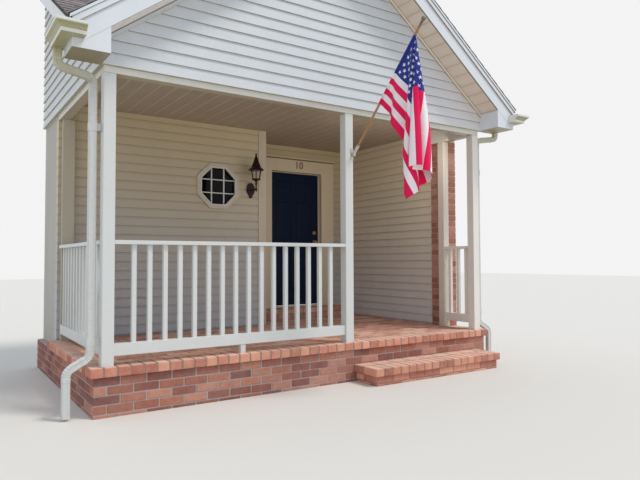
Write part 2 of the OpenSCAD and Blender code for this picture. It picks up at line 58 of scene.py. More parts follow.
# %% Places and sizes, in metres
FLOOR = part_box("front_posts")[0].z
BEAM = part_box("front_beam")[0].z
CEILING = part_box("ceiling")[0].z
SIDING_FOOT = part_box("gable_wall")[0].z
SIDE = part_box("front_posts")[1].x
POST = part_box("front_posts")[1].y * 2
BASE = -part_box("base_block")[0].x
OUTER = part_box("side_wall")[1].x
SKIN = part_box("gable_wall")[1].x
GABLE_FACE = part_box("gable_wall")[0].y
SOFFIT_END = SKIN + 0.012
WINDOW_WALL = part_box("window_wall")[0].y
DOOR_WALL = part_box("door_wall_left")[0].y
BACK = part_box("house_wall")[1].y
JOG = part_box("return_wall")[1].x
BRICK_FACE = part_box("brick_corner")[0].y
BRICK_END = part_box("brick_corner")[1].y
GABLE_PITCH, HOUSE_PITCH = 0.75, 0.563
GABLE_SLOPE, HOUSE_SLOPE = math.atan(GABLE_PITCH), math.atan(HOUSE_PITCH)
COURSE = 0.1029
SIDING_START = FLOOR + 0.016
BOARD = 0.1524
BRICK_LENGTH, BRICK_HEIGHT, JOINT = 0.203, 0.063, 0.010
REACH = 0.1  # how far a cutter goes past what it cuts, on both sides
SLIT = 0.0004  # what keeps laps and boards apart, so that their faces don't meet

# %% [markdown]
# ## Small helpers
# An operator works on whatever is selected, so each step first selects its own piece and
# nothing else. Vertices are picked in code by where they are, as a hand would click them.


# %% Helpers for selecting and adding
def only(*objects):
    bpy.ops.object.select_all(action="DESELECT")
    for o in objects:
        o.select_set(True)
    bpy.context.view_layer.objects.active = objects[-1]


def add(name, primitive, **values):
    """Adds a primitive, a lamp or a camera while nothing else is selected."""
    bpy.ops.object.select_all(action="DESELECT")
    primitive(**values)
    o = bpy.context.object
    o.name = o.data.name = name
    return o


def assign(target, **values):
    """Sets several properties of one thing."""
    for key, value in values.items():
        setattr(target, key, value)


def edit(o, action="DESELECT"):
    only(o)
    bpy.ops.object.mode_set(mode="EDIT")
    bpy.ops.mesh.select_all(action=action)


def done():
    bpy.ops.object.mode_set(mode="OBJECT")


def pick(o, test):
    """Selects the vertices whose place passes the test, and the edges and faces between them."""
    mesh = bmesh.from_edit_mesh(o.data)
    for v in mesh.verts:
        v.select = test(v.co)
    mesh.select_mode = {"VERT"}
    mesh.select_flush_mode()
    bmesh.update_edit_mesh(o.data)


# %% Helpers for shaping
def place(o, matrix=None):
    """Puts the piece's place into its mesh, so that its object stays at the origin."""
    if matrix is not None:
        o.matrix_world = matrix
    only(o)
    bpy.ops.object.transform_apply(location=True, rotation=True, scale=True)
    return o


def apply(o, kind, **values):
    only(o)
    modifier = o.modifiers.new(kind.lower(), kind)
    assign(modifier, **values)
    bpy.ops.object.modifier_apply(modifier=modifier.name)
    return o


def block(name, low, high, bevel=0.0, segments=2):
    low, high = Vector(low), Vector(high)
    o = add(name, bpy.ops.mesh.primitive_cube_add, size=1, location=(low + high) / 2)
    o.scale = high - low
    place(o)
    if bevel:
        apply(o, "BEVEL", width=bevel, segments=segments)
    return o


def face(name, corners):
    """One flat face with the given corners."""
    o = add(name, bpy.ops.mesh.primitive_circle_add, vertices=len(corners), fill_type="NGON")
    for vertex, corner in zip(o.data.vertices, corners):
        vertex.co = corner
    return o


def close(o):
    """Turns all the faces of a closed piece outwards and leaves edit mode."""
    bpy.ops.mesh.select_all(action="SELECT")
    bpy.ops.mesh.normals_make_consistent(inside=False)
    done()
    return place(o)


def prism(name, outline, depth):
    """A flat outline in X and Z, extruded back along Y from 0 to depth."""
    o = face(name, [(x, 0, z) for x, z in outline])
    edit(o, "SELECT")
    bpy.ops.mesh.extrude_region_move(TRANSFORM_OT_translate={"value": (0, depth, 0)})
    return close(o)


def stack(o, count, step):
    """Repeats a piece by a step, as laps and boards are."""
    return apply(o, "ARRAY", count=count, use_relative_offset=False, use_constant_offset=True,
                 constant_offset_displace=step)


def trim(o, cutter, operation="DIFFERENCE"):
    """Cuts a piece with a closed cutter: DIFFERENCE takes it away, INTERSECT keeps it."""
    apply(o, "BOOLEAN", object=cutter, operation=operation, solver="MANIFOLD")
    bpy.data.objects.remove(cutter)
    return o


def slice_off(o, point, normal):
    """Cuts a piece by a plane and drops the side that the normal points to."""
    edit(o, "SELECT")
    normal = Vector(normal).normalized()
    bpy.ops.mesh.bisect(plane_co=point, plane_no=normal, clear_outer=True, use_fill=True)
    done()
    return o


def join(name, objects):
    only(*objects)
    if len(objects) > 1:
        bpy.ops.object.join()
    o = bpy.context.object
    o.name = o.data.name = name
    return o


def copy_of(o, offset=(0, 0, 0)):
    twin = o.copy()
    twin.data = o.data.copy()
    bpy.context.scene.collection.objects.link(twin)
    twin.data.transform(Matrix.Translation(offset))
    return twin


# %% Helpers for finished pieces
def piece(o, material, body="porch"):
    o.data.materials.clear()
    o.data.materials.append(material)
    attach(o, body)
    print("made", o.name, len(o.data.polygons), "faces")
    return o


def pair(left, material, right_material=None):
    """A piece and its copy on the right, with the copy's faces turned the right way again."""
    piece(left, material)
    twin = copy_of(left)
    twin.name = twin.data.name = left.name.replace("left", "right")
    twin.data.transform(Matrix.Scale(-1, 4, (1, 0, 0)))
    twin.data.flip_normals()
    return left, piece(twin, right_material or material)


# %% [markdown]
# ## Shader groups
# Dirt, grain and unevenness show up in many of the finishes, so each is a node group with named
# inputs. Faces that look down take more of the dirt's colour, which there stands for painted shade.
# A group reads Object coordinates, which are the same as the frame's metres, because every piece
# keeps its object at the origin.


# %% Helpers for node trees
def feed(tree, node, inputs):
    """Links each input that is a socket and sets the others. A colour needs no alpha."""
    for key, value in inputs.items():
        socket = node.inputs[key]
        if isinstance(value, bpy.types.NodeSocket):
            tree.links.new(value, socket)
        else:
            socket.default_value = (*value, 1) if socket.type == "RGBA" else value


def wire(tree, kind, inputs=None, **values):
    node = tree.nodes.new(kind)
    assign(node, **values)
    feed(tree, node, inputs or {})
    return node


def maths(tree, operation, a, b=None, c=None):
    inputs = {i: v for i, v in enumerate((a, b, c)) if v is not None}
    return wire(tree, "ShaderNodeMath", inputs, operation=operation).outputs[0]


def ramp(tree, value, stops):
    node = wire(tree, "ShaderNodeValToRGB", {"Fac": value})
    elements = node.color_ramp.elements
    while len(elements) < len(stops):
        elements.new(0.5)
    for element, (position, colour) in zip(elements, stops):
        element.position, element.color = position, (*colour, 1)
    return node.outputs["Color"]


def blend_colours(tree, factor, a, b, mode="MIX"):
    inputs = {0: factor, 6: a, 7: b}
    return wire(tree, "ShaderNodeMix", inputs, data_type="RGBA", blend_type=mode).outputs[2]


def between(tree, value, low, high, top=1.0):
    """Goes from 0 where the value is low to top where it is high."""
    limits = {"Value": value, "From Min": low, "From Max": high, "To Max": top}
    return wire(tree, "ShaderNodeMapRange", limits).outputs[0]


def noise(tree, vector, scale, detail, roughness=0.5):
    inputs = {"Vector": vector, "Scale": scale, "Detail": detail, "Roughness": roughness}
    return wire(tree, "ShaderNodeTexNoise", inputs).outputs["Fac"]


def axis_of(tree, kind, axis):
    """X, Y or Z of the place on the porch (Object), or of the way that a face looks (Normal)."""
    source = {"Object": "ShaderNodeTexCoord", "Normal": "ShaderNodeNewGeometry"}[kind]
    vector = wire(tree, source).outputs[kind]
    return wire(tree, "ShaderNodeSeparateXYZ", {0: vector}).outputs[axis]


def group(name, inputs, outputs):
    tree = bpy.data.node_groups.new(name, "ShaderNodeTree")
    for label, kind, default in inputs:
        tree.interface.new_socket(label, in_out="INPUT", socket_type=kind).default_value = default
    for label, kind in outputs:
        tree.interface.new_socket(label, in_out="OUTPUT", socket_type=kind)
    return tree, tree.nodes.new("NodeGroupInput").outputs, tree.nodes.new("NodeGroupOutput")


FLOAT, COLOUR, VECTOR = "NodeSocketFloat", "NodeSocketColor", "NodeSocketVector"

# %% The group for dirt and painted underside shade
dirt_and_underside_shade, given, out = group(
    "dirt_and_underside_shade",
    [("Colour", COLOUR, (0.8, 0.8, 0.8, 1)), ("Dirt and shade", COLOUR, (0.3, 0.27, 0.2, 1)),
     ("Amount", FLOAT, 0.2), ("Scale", FLOAT, 3.0), ("Underside shade", FLOAT, 0.0)],
    [("Colour", COLOUR)])
do = partial(maths, dirt_and_underside_shade)
where = wire(dirt_and_underside_shade, "ShaderNodeTexCoord").outputs["Object"]
streaks = wire(dirt_and_underside_shade, "ShaderNodeMapping", {"Vector": where, "Scale": (1, 1, 0.25)})
broad = noise(dirt_and_underside_shade, streaks.outputs[0], given["Scale"], 6.0, 0.6)
mask = do("MULTIPLY", broad, noise(dirt_and_underside_shade, where, 60.0, 4.0))
mask = do("MULTIPLY", between(dirt_and_underside_shade, mask, 0.14, 0.48), given["Amount"])
# Faces that look down take the dirt's colour as painted shade.
underside_shade_mask = between(dirt_and_underside_shade, axis_of(dirt_and_underside_shade, "Normal", "Z"), -0.2, -0.7)
underside_shade_mask = do("MULTIPLY", underside_shade_mask, given["Underside shade"])
mask = do("MINIMUM", do("ADD", mask, underside_shade_mask), 1.0)
feed(dirt_and_underside_shade, out, {"Colour": blend_colours(dirt_and_underside_shade, mask, given["Colour"], given["Dirt and shade"])})

# %% The surface group: fine unevenness for bump and roughness
surface, given, out = group(
    "surface",
    [("Scale", FLOAT, 200.0), ("Stretch", VECTOR, (1, 1, 1)), ("Roughness", FLOAT, 0.5),
     ("Spread", FLOAT, 0.1)],
    [("Height", FLOAT), ("Roughness", FLOAT)])
where = wire(surface, "ShaderNodeTexCoord").outputs["Object"]
stretched = wire(surface, "ShaderNodeVectorMath", {0: where, 1: given["Stretch"]}, operation="MULTIPLY")
height = noise(surface, stretched.outputs[0], given["Scale"], 5.0)
centred = maths(surface, "SUBTRACT", height, 0.5)
shift = maths(surface, "MULTIPLY_ADD", centred, given["Spread"], given["Roughness"])
feed(surface, out, {"Height": height, "Roughness": shift})


# %% A finish from the two groups
def new_material(name):
    material = bpy.data.materials.new(name)
    material.use_nodes = True
    return material, material.node_tree, material.node_tree.nodes["Principled BSDF"]


def roughen(tree, shader, grain, distance, strength=1.0):
    """Feeds a shader's roughness and bump from the surface group."""
    even = wire(tree, "ShaderNodeGroup", grain, node_tree=surface)
    inputs = {"Height": even.outputs["Height"], "Distance": distance, "Strength": strength}
    bump = wire(tree, "ShaderNodeBump", inputs)
    feed(tree, shader, {"Roughness": even.outputs["Roughness"], "Normal": bump.outputs[0]})


def finish(name, colour, dirt=(0.25, 0.22, 0.17), amount=0.15, scale=3.0, under=0.0, grain=200.0,
           stretch=(1, 1, 1), roughness=0.5, spread=0.15, bump=0.0005, metallic=0.0, coat=0.0,
           specular=0.5, sheen=0.0):
    """A colour with dirt and painted underside shade on a slightly uneven surface. Where colour is None,
    recolour gives it.
    """
    material, tree, shader = new_material(name)
    dirt_and_shade_inputs = {"Dirt and shade": dirt, "Amount": amount, "Scale": scale, "Underside shade": under}
    soiled_and_shaded = wire(tree, "ShaderNodeGroup", dirt_and_shade_inputs, node_tree=dirt_and_underside_shade, name="soiled_and_shaded")
    if colour:
        feed(tree, soiled_and_shaded, {"Colour": colour})
    feed(tree, shader, {"Base Color": soiled_and_shaded.outputs["Colour"], "Metallic": metallic, "Coat Weight": coat,
                        "Specular IOR Level": specular, "Sheen Weight": sheen})
    grained = {"Scale": grain, "Stretch": stretch, "Roughness": roughness, "Spread": spread}
    roughen(tree, shader, grained, bump)
    return material


def recolour(material, socket):
    """Feeds a colour that changes over the surface into a finish."""
    feed(material.node_tree, material.node_tree.nodes["soiled_and_shaded"], {"Colour": socket})
    return material


# %% [markdown]
# ## The finishes
# The outside is white vinyl in open light. Under the roof the same trim reads as cream, so the
# walls and trim there get a darker, warmer colour, as painted shade. Each finish has its own grain
# and its own share of dirt. Its first colour is its own, or None where a later cell gives it, and
# its second is the colour of dirt, which also paints the shade on faces that look down.

# %% Vinyl and boards
WRAP = {"roughness": 0.38, "grain": 90, "bump": 0.0002}
SMOOTH = {"under": 0.9, "roughness": 0.4, "bump": 0.0002}
LAPPED = {"under": 0.9, "grain": 60, "stretch": (0.15, 0.15, 1.6), "bump": 0.0006}
FOLDED = {"bump": 0.0003}
white_vinyl = finish("white_vinyl", None, (0.36, 0.33, 0.24), 0.12, under=0.5, **WRAP)
beam_wrap = finish("beam_wrap", (0.78, 0.77, 0.71), (0.36, 0.31, 0.2), 0.12, under=0.85, **WRAP)
white_siding = finish("white_siding", None, (0.34, 0.31, 0.18), 0.12, roughness=0.42, **LAPPED)
# The indoor siding and trim are darker, warmer copies of the white vinyl, as painted shade, and the side
# wall's copy is lighter, as painted light.
shaded_siding = finish("shaded_siding", None, (0.30, 0.25, 0.14), 0.16, roughness=0.45, **LAPPED)
lit_side_siding = finish("lit_side_siding", None, (0.30, 0.25, 0.14), 0.14, roughness=0.45, **LAPPED)
cream_trim = finish("cream_trim", (0.76, 0.66, 0.48), (0.30, 0.24, 0.13), **SMOOTH)
post_trim = finish("post_trim", None, (0.30, 0.24, 0.13), **SMOOTH)
shaded_trim = finish("shaded_trim", (0.60, 0.53, 0.40), (0.26, 0.21, 0.12), 0.2, **SMOOTH)
cap_shade = finish("cap_shade", (0.24, 0.20, 0.11), (0.14, 0.12, 0.07), 0.3, bump=0.0002)
tan_boards = finish("tan_boards", None, (0.20, 0.15, 0.11), 0.25, grain=70, stretch=(1.6, 0.12, 1))
channel_foot = finish("channel_foot", None, (0.28, 0.22, 0.13), 0.3, **FOLDED)
channel_top = finish("channel_top", None, (0.20, 0.15, 0.10), 0.3, **FOLDED)
channel_web = finish("channel_web", None, (0.60, 0.52, 0.44), **FOLDED)
# The soffit comes as a tan copy in painted shade for the right slope and a pale copy in painted light for
# the left.
soffit_vinyl = finish("soffit_vinyl", None, (0.50, 0.40, 0.32), 0.2, **FOLDED)
lit_soffit = finish("lit_soffit", None, (0.60, 0.52, 0.44), **FOLDED)
cut_face = finish("cut_face", (0.55, 0.52, 0.46), (0.3, 0.27, 0.22), 0.3, roughness=0.85, grain=40,
                  bump=0.0015)

# %% Metal, paint, wood and mortar
SHEET = {"roughness": 0.35, "bump": 0.0002}
MORTAR = {"roughness": 0.95, "grain": 300, "bump": 0.002}
white_metal = finish("white_metal", (0.76, 0.79, 0.82), (0.25, 0.21, 0.12), 0.08, under=1.0,
                     roughness=0.32, bump=0.0002)
cream_metal = finish("cream_metal", (0.80, 0.80, 0.74), (0.34, 0.32, 0.16), 0.2, 0.9, 0.9, **SHEET)
pipe_metal = finish("pipe_metal", None, (0.42, 0.40, 0.28), 0.3, 1.2, 0.8, **SHEET)
navy_paint = finish("navy_paint", (0.006, 0.014, 0.040), (0.03, 0.035, 0.05), roughness=0.4, grain=80,
                    stretch=(1, 1, 0.12), bump=0.0003, specular=0.12)
dark_bronze = finish("dark_bronze", (0.030, 0.011, 0.013), (0.07, 0.035, 0.03), 0.25, roughness=0.4,
                     metallic=0.6)
brass = finish("brass", (0.65, 0.46, 0.20), (0.25, 0.16, 0.07), 0.3, roughness=0.28, metallic=1.0,
               bump=0.0001)
number_bronze = finish("number_bronze", (0.36, 0.20, 0.11), (0.16, 0.08, 0.05), 0.3, roughness=0.4,
                       metallic=0.7, bump=0.0001)
cast_metal = finish("cast_metal", (0.60, 0.59, 0.56), (0.25, 0.22, 0.18), 0.4, roughness=0.4,
                    metallic=0.9)
pole_wood = finish("pole_wood", None, (0.16, 0.08, 0.03), 0.6, scale=14, roughness=0.35, grain=160,
                   stretch=(1, 0.2, 0.2), coat=0.4)
mortar = finish("mortar", (0.46, 0.41, 0.39), (0.25, 0.21, 0.20), 0.4, **MORTAR)
floor_mortar = finish("floor_mortar", (0.34, 0.26, 0.21), (0.18, 0.13, 0.11), 0.5, **MORTAR)
slab_dark = finish("slab_dark", (0.05, 0.045, 0.045), (0.12, 0.1, 0.09), 0.3, roughness=0.9,
                   bump=0.001)
print("plain finishes:", len(bpy.data.materials))


# %% [markdown]
# The walls inside the porch look warm under the tan ceiling and paler down by the floor, where
# the open sky reaches them. That light is painted: the siding's colour follows its height between
# the two, and each lap is darker where the next one overhangs it, as painted shade. White vinyl,
# the gable's siding and the wall posts get lighter and warmer towards the right, and the rake
# channels change colour at the ridge, all as painted light and shade.

# %% Colour along an axis
def share_of(tree, value, start, pitch):
    """How far a place is through its own lap or board, from 0 to 1."""
    return maths(tree, "FRACT", maths(tree, "DIVIDE", maths(tree, "SUBTRACT", value, start), pitch))


def graded(material, axis, low, high, *colours, shaded_laps=False):
    """The colours follow one another along X or Z, between two places on the porch."""
    tree = material.node_tree
    spot = axis_of(tree, "Object", axis)
    stops = [(i / (len(colours) - 1), colour) for i, colour in enumerate(colours)]
    colour = ramp(tree, between(tree, spot, low, high), stops)
    if shaded_laps:
        # Each lap darkens under the edge of the lap above: painted shade.
        lap_shade = between(tree, share_of(tree, spot, SIDING_START, COURSE), 0.66, 0.97)
        outside = maths(tree, "LESS_THAN", axis_of(tree, "Normal", "Y"), 0.5)
        lap_shade = maths(tree, "MULTIPLY", lap_shade, outside)
        colour = blend_colours(tree, lap_shade, colour, (0.85, 0.83, 0.79), mode="MULTIPLY")
    return recolour(material, colour)


SHADED_TAN = (0.50, 0.40, 0.26)
VARNISH = (0.42, 0.22, 0.08)
# Painted light: the indoor siding's colour follows its height, pale low down and warm under the ceiling.
graded(shaded_siding, "Z", FLOOR, CEILING, (0.51, 0.54, 0.57), (0.49, 0.47, 0.43),
       (0.56, 0.48, 0.345), (0.65, 0.55, 0.35), shaded_laps=True)
graded(lit_side_siding, "Z", FLOOR, CEILING, (0.76, 0.74, 0.72), (0.72, 0.66, 0.58),
       (0.76, 0.67, 0.52), (0.80, 0.70, 0.50), shaded_laps=True)
graded(pipe_metal, "Z", BEAM - 0.15, BEAM + 0.10, (0.66, 0.67, 0.66), (0.62, 0.61, 0.50),
       (0.52, 0.48, 0.29))
graded(pole_wood, "Z", 3.29, 3.40, VARNISH, VARNISH, (0.10, 0.09, 0.05), (0.22, 0.23, 0.17))
# Painted light: white vinyl and the gable's siding get lighter and warmer towards the right, and the wall
# posts are painted darker on the left as shade.
graded(white_vinyl, "X", 0.6, 2.1, (0.70, 0.71, 0.69), (0.87, 0.82, 0.75))
graded(white_siding, "X", 0.8, 2.2, (0.66, 0.69, 0.72), (0.78, 0.75, 0.75))
graded(post_trim, "X", -1.0, 1.0, (0.50, 0.45, 0.34), (0.74, 0.67, 0.57))
# Painted light and shade: the rake channels change colour at the ridge, grey with a dark painted shadow
# along the top edge on the left, cream and shaded tan on the right.
graded(channel_web, "X", -0.02, 0.02, (0.66, 0.68, 0.69), (0.86, 0.83, 0.78))
graded(channel_foot, "X", -0.02, 0.02, (0.62, 0.63, 0.62), SHADED_TAN)
graded(channel_top, "X", -0.02, 0.02, (0.15, 0.11, 0.09), SHADED_TAN)

# %% [markdown]
# Vinyl boards under a roof are folded from one sheet, so their joints are shallow. Under the
# ceiling the joints are painted paler than the boards, as a highlight. Under the rakes they show as
# soft stripes.


# %% Colour across boards
def across_boards(material, start, pitch, stops, both_sides=False):
    tree = material.node_tree
    x = axis_of(tree, "Object", "X")
    if both_sides:
        x = maths(tree, "ABSOLUTE", x)
    return recolour(material, ramp(tree, share_of(tree, x, start, pitch), stops))


board_colour, joint_highlight = (0.39, 0.32, 0.24), (0.53, 0.44, 0.35)
across_boards(tan_boards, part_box("ceiling")[0].x, BOARD,
              [(0.0, joint_highlight), (0.035, joint_highlight), (0.06, board_colour),
               (0.94, board_colour), (0.965, joint_highlight), (1.0, joint_highlight)])
soffit_board = BOARD * math.cos(GABLE_SLOPE)
pale, pale_joint, tan_joint = (0.86, 0.83, 0.78), (0.74, 0.70, 0.64), (0.60, 0.49, 0.40)
across_boards(soffit_vinyl, SOFFIT_END, soffit_board,
              [(0.0, tan_joint), (0.06, (0.74, 0.61, 0.51)), (0.5, (0.76, 0.67, 0.55)),
               (0.94, (0.72, 0.60, 0.50)), (1.0, tan_joint)], both_sides=True)
across_boards(lit_soffit, SOFFIT_END, soffit_board,
              [(0.0, pale_joint), (0.06, pale), (0.94, pale), (1.0, pale_joint)], both_sides=True)

# %% [markdown]
# Brick and shingle are never one colour. Each brick or tab carries a number between 0 and 1 on
# its faces, called tone, and a colour ramp turns that number into one of the kiln's colours.


# %% Brick, paver and shingle
def toned(name, stops, lit_worn_tops=None, **look):
    """A material that reads each brick's tone. Faces that look up can be made lighter, partly as painted
    sunlight and partly as wear from feet.
    """
    material = finish(name, None, **look)
    tree = material.node_tree
    tone = wire(tree, "ShaderNodeAttribute", attribute_name="tone").outputs["Fac"]
    blotch = noise(tree, wire(tree, "ShaderNodeTexCoord").outputs["Object"], 18.0, 5.0)
    mixed = maths(tree, "MULTIPLY_ADD", maths(tree, "SUBTRACT", blotch, 0.5), 0.55, tone)
    colour = ramp(tree, mixed, stops)
    if lit_worn_tops:
        # Lighter tops: partly painted sunlight, partly wear from feet.
        upwards = between(tree, axis_of(tree, "Normal", "Z"), 0.6, 1.0, top=0.55)
        colour = blend_colours(tree, upwards, colour, lit_worn_tops)
    return recolour(material, colour)


PAVING = {"scale": 7, "roughness": 0.85, "grain": 260, "bump": 0.0014}
wall_brick = toned("wall_brick", [(0.0, (0.10, 0.050, 0.052)), (0.25, (0.21, 0.076, 0.064)),
                                  (0.5, (0.34, 0.110, 0.071)), (0.75, (0.44, 0.165, 0.103)),
                                  (1.0, (0.55, 0.265, 0.185))],
                   dirt=(0.43, 0.33, 0.29), amount=0.3, scale=9, roughness=0.9, grain=260, bump=0.0018)
floor_brick = toned("floor_brick", [(0.0, (0.36, 0.14, 0.10)), (0.3, (0.55, 0.24, 0.17)),
                                    (0.6, (0.70, 0.36, 0.26)), (1.0, (0.78, 0.48, 0.37))],
                    dirt=(0.75, 0.60, 0.49), amount=0.4, **PAVING)
step_brick = toned("step_brick", [(0.0, (0.27, 0.085, 0.052)), (0.3, (0.46, 0.15, 0.10)),
                                  (0.6, (0.64, 0.26, 0.17)), (1.0, (0.80, 0.39, 0.26))],
                   lit_worn_tops=(0.95, 0.70, 0.56), dirt=(0.80, 0.58, 0.44), amount=0.25, **PAVING)
shingle = toned("shingle", [(0.0, (0.10, 0.085, 0.085)), (0.4, (0.17, 0.15, 0.15)),
                            (0.7, (0.25, 0.22, 0.22)), (1.0, (0.36, 0.32, 0.32))],
                dirt=(0.42, 0.36, 0.34), amount=0.35, scale=12, roughness=0.9, grain=700, bump=0.0012)


# %% Glass
def glass(name, tint, roughness, ior):
    """Clear glass, slightly wavy. The window's has a near-black tint, painted shade for the unlit room
    behind it.
    """
    material, tree, shader = new_material(name)
    feed(tree, shader, {"Base Color": tint, "Transmission Weight": 1.0, "IOR": ior})
    roughen(tree, shader, {"Scale": 3.0, "Roughness": roughness, "Spread": 0.02}, 0.002, 0.3)
    return material


# The window glass's near-black tint is painted shade.
window_glass = glass("window_glass", (0.006, 0.012, 0.010), 0.03, 1.22)
lantern_glass = glass("lantern_glass", (0.95, 0.93, 0.88), 0.06, 1.45)

# %% [markdown]
# ## Finishes for the frame's own solids
# Posts, rails, beams and trim already have their real shape. They get a weld and a narrow bevel
# as live modifiers, because real vinyl has rounded arrises that catch the light, and a finish.


# %% Dress the solids
def dress(material, *names, bevel=0.0):
    for name in names:
        o = nodes[name]
        o.data.materials.clear()
        o.data.materials.append(material)
        if bevel:
            o.modifiers.new("weld", "WELD").merge_threshold = 0.00005
            rounded = o.modifiers.new("bevel", "BEVEL")
            assign(rounded, width=bevel, segments=2, limit_method="ANGLE")


dress(white_vinyl, "front_posts", "front_railing", "side_railings", bevel=0.003)
dress(beam_wrap, "front_beam", "side_beams", bevel=0.004)
dress(cream_trim, "door_frame", bevel=0.002)
dress(post_trim, "wall_posts", bevel=0.002)
dress(shaded_trim, "corner_board", "window_frame", bevel=0.002)
dress(white_metal, "rake_boards", "eave_returns", "side_eaves", bevel=0.002)
dress(cream_metal, "gutters")
dress(mortar, "base_block", "brick_corner")
dress(floor_mortar, "floor_paving", "floor_edge", "lower_step", "door_step")
dress(tan_boards, "ceiling")
dress(soffit_vinyl, "rake_soffit")
dress(shaded_siding, "window_wall", "return_wall", "door_wall_left", "door_wall_right", "door_wall_head")
dress(lit_side_siding, "side_wall")
dress(cut_face, "house_wall")
dress(white_siding, "gable_wall", "upper_side_walls")
dress(slab_dark, "gable_roof_left", "gable_roof_right", "house_roof")
dress(window_glass, "window_glass")
dress(lantern_glass, "lantern_glass")
dress(navy_paint, "door_leaf", bevel=0.0015)
dress(brass, "door_knobs", "door_hinges")
dress(dark_bronze, "lantern_body")
dress(cast_metal, "flag_bracket")
dress(pole_wood, "flag_pole")

# %% [markdown]
# ## Lapped siding
# Vinyl siding is a stack of 4 inch laps. Each lap leans out towards its lower edge and throws a
# thin shadow on the next. One lap is a cube whose upper front edge is pushed back, and an array
# stacks it. The stack is then cut to the wall's outline and round the window and the door.

# %% One wall of siding
OUTDOOR_BUTT, INDOOR_BUTT = 0.015, 0.010
LIP = 0.002


def siding(name, width, height, to_wall, butt=OUTDOOR_BUTT):
    """Laps on a wall: X runs along it, Z up, and the laps stand out towards -Y."""
    lap = block(name, (0, -butt, 0), (width, 0, COURSE - SLIT))
    edit(lap)
    pick(lap, lambda p: p.z > COURSE / 2 and p.y < -butt / 2)
    bpy.ops.transform.translate(value=(0, butt - LIP, 0))
    done()
    count = math.ceil(height / COURSE)
    stack(lap, count, (0, 0, COURSE))
    if count * COURSE > height + 0.001:
        slice_off(lap, (0, 0, height), (0, 0, 1))
    return place(lap, to_wall)


def facing(x, y, z, turn):
    return Matrix.Translation((x, y, z)) @ Matrix.Rotation(math.radians(turn), 4, "Z")


# %% Siding on the gable
rake_low, rake_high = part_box("rake_boards")
EAVE = rake_high.x
RETURN_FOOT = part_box("eave_returns")[0].z
peak = RETURN_FOOT + GABLE_PITCH * EAVE
corner = RETURN_FOOT + GABLE_PITCH * (EAVE - SKIN)
gable = siding("gable_siding", 2 * SKIN, peak - SIDING_FOOT, facing(-SKIN, GABLE_FACE, SIDING_FOOT, 0))
outline = [(-SKIN, SIDING_FOOT - REACH), (SKIN, SIDING_FOOT - REACH), (SKIN, corner), (0, peak),
           (-SKIN, corner)]
cutter = place(prism("cutter", outline, 2 * REACH), Matrix.Translation((0, GABLE_FACE - REACH, 0)))
piece(trim(gable, cutter, "INTERSECT"), white_siding)


# %% [markdown]
# The upper side walls end under the sloped soffit, so their siding is cut with an outline in the
# wall's own plane. The right one stops at the brick corner, where the wall gets thicker.

# %% Siding on the sides
RETURN_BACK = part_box("eave_returns")[1].y
soffit_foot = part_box("side_eaves")[0].z


def soffit_at(y):
    return soffit_foot + HOUSE_PITCH * (y - RETURN_BACK)


def side_siding(name, x, y0, y1, z0, outline):
    """Siding on a wall that faces left, or right, cut to an outline of (y, z) points."""
    to_wall = facing(x, y0, z0, 90) if x > 0 else facing(x, y1, z0, -90)
    cover = siding(name, y1 - y0, soffit_at(y1) - z0, to_wall)
    cutter = prism("cutter", outline, 2 * REACH)
    cutter.data.transform(Matrix(((0, 1, 0, x - REACH), (1, 0, 0, 0), (0, 0, 1, 0), (0, 0, 0, 1))))
    cutter.data.flip_normals()
    return piece(trim(cover, cutter, "INTERSECT"), white_siding)


for name, x, end in (("left_upper_siding", -SKIN, BACK), ("right_upper_siding", SKIN, BRICK_FACE)):
    side_siding(name, x, GABLE_FACE, end, SIDING_FOOT,
                [(GABLE_FACE, SIDING_FOOT - REACH), (end, SIDING_FOOT - REACH), (end, soffit_at(end)),
                 (RETURN_BACK, soffit_foot), (RETURN_BACK, RETURN_FOOT), (GABLE_FACE, RETURN_FOOT)])
side_siding("right_wall_siding", OUTER, BRICK_FACE, BACK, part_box("side_wall")[0].z,
            [(BRICK_END, 0), (BACK, 0), (BACK, soffit_at(BACK)), (BRICK_FACE, soffit_at(BRICK_FACE)),
             (BRICK_FACE, BEAM), (BRICK_END, BEAM)])

# %% [markdown]
# Inside the porch the siding starts just over the floor and ends at the ceiling. The window wall
# has an eight-sided hole, which the window's own trim covers by a few centimetres, and the door
# wall has a hole under the wide casing.


# %% Siding inside the porch
def eight_sided(name, node, extra, y0, y1):
    """An eight-sided block in the place of a part of the window, wider by extra."""
    low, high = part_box(node)
    middle = (low + high) / 2
    radius = (high.x - low.x + extra) / 2 / math.cos(math.pi / 8)
    return place(add(name, bpy.ops.mesh.primitive_cylinder_add, vertices=8, radius=radius, depth=y1 - y0,
                     location=(middle.x, (y0 + y1) / 2, middle.z), rotation=(math.pi / 2, math.pi / 8, 0)))


def inside_wall(name, width, x, y, turn):
    return siding(name, width, CEILING - SIDING_START, facing(x, y, SIDING_START, turn), INDOOR_BUTT)


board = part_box("corner_board")
window = inside_wall("window_wall_siding", board[0].x + SIDE, -SIDE, WINDOW_WALL, 0)
trim(window, eight_sided("cutter", "window_frame", -0.05, WINDOW_WALL - REACH, WINDOW_WALL + REACH))
piece(window, shaded_siding)
piece(inside_wall("return_siding", DOOR_WALL - board[1].y, JOG, board[1].y, 90), shaded_siding)
piece(inside_wall("side_wall_siding", DOOR_WALL - BRICK_END, SIDE, DOOR_WALL, -90), lit_side_siding)

door = inside_wall("door_wall_siding", SIDE - JOG, JOG, DOOR_WALL, 0)
low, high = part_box("door_frame")
under_casing = 0.030
trim(door, block("cutter", (low.x + under_casing, DOOR_WALL - REACH, 0),
                 (high.x - under_casing, DOOR_WALL + REACH, high.z - 0.01)))
piece(door, shaded_siding)

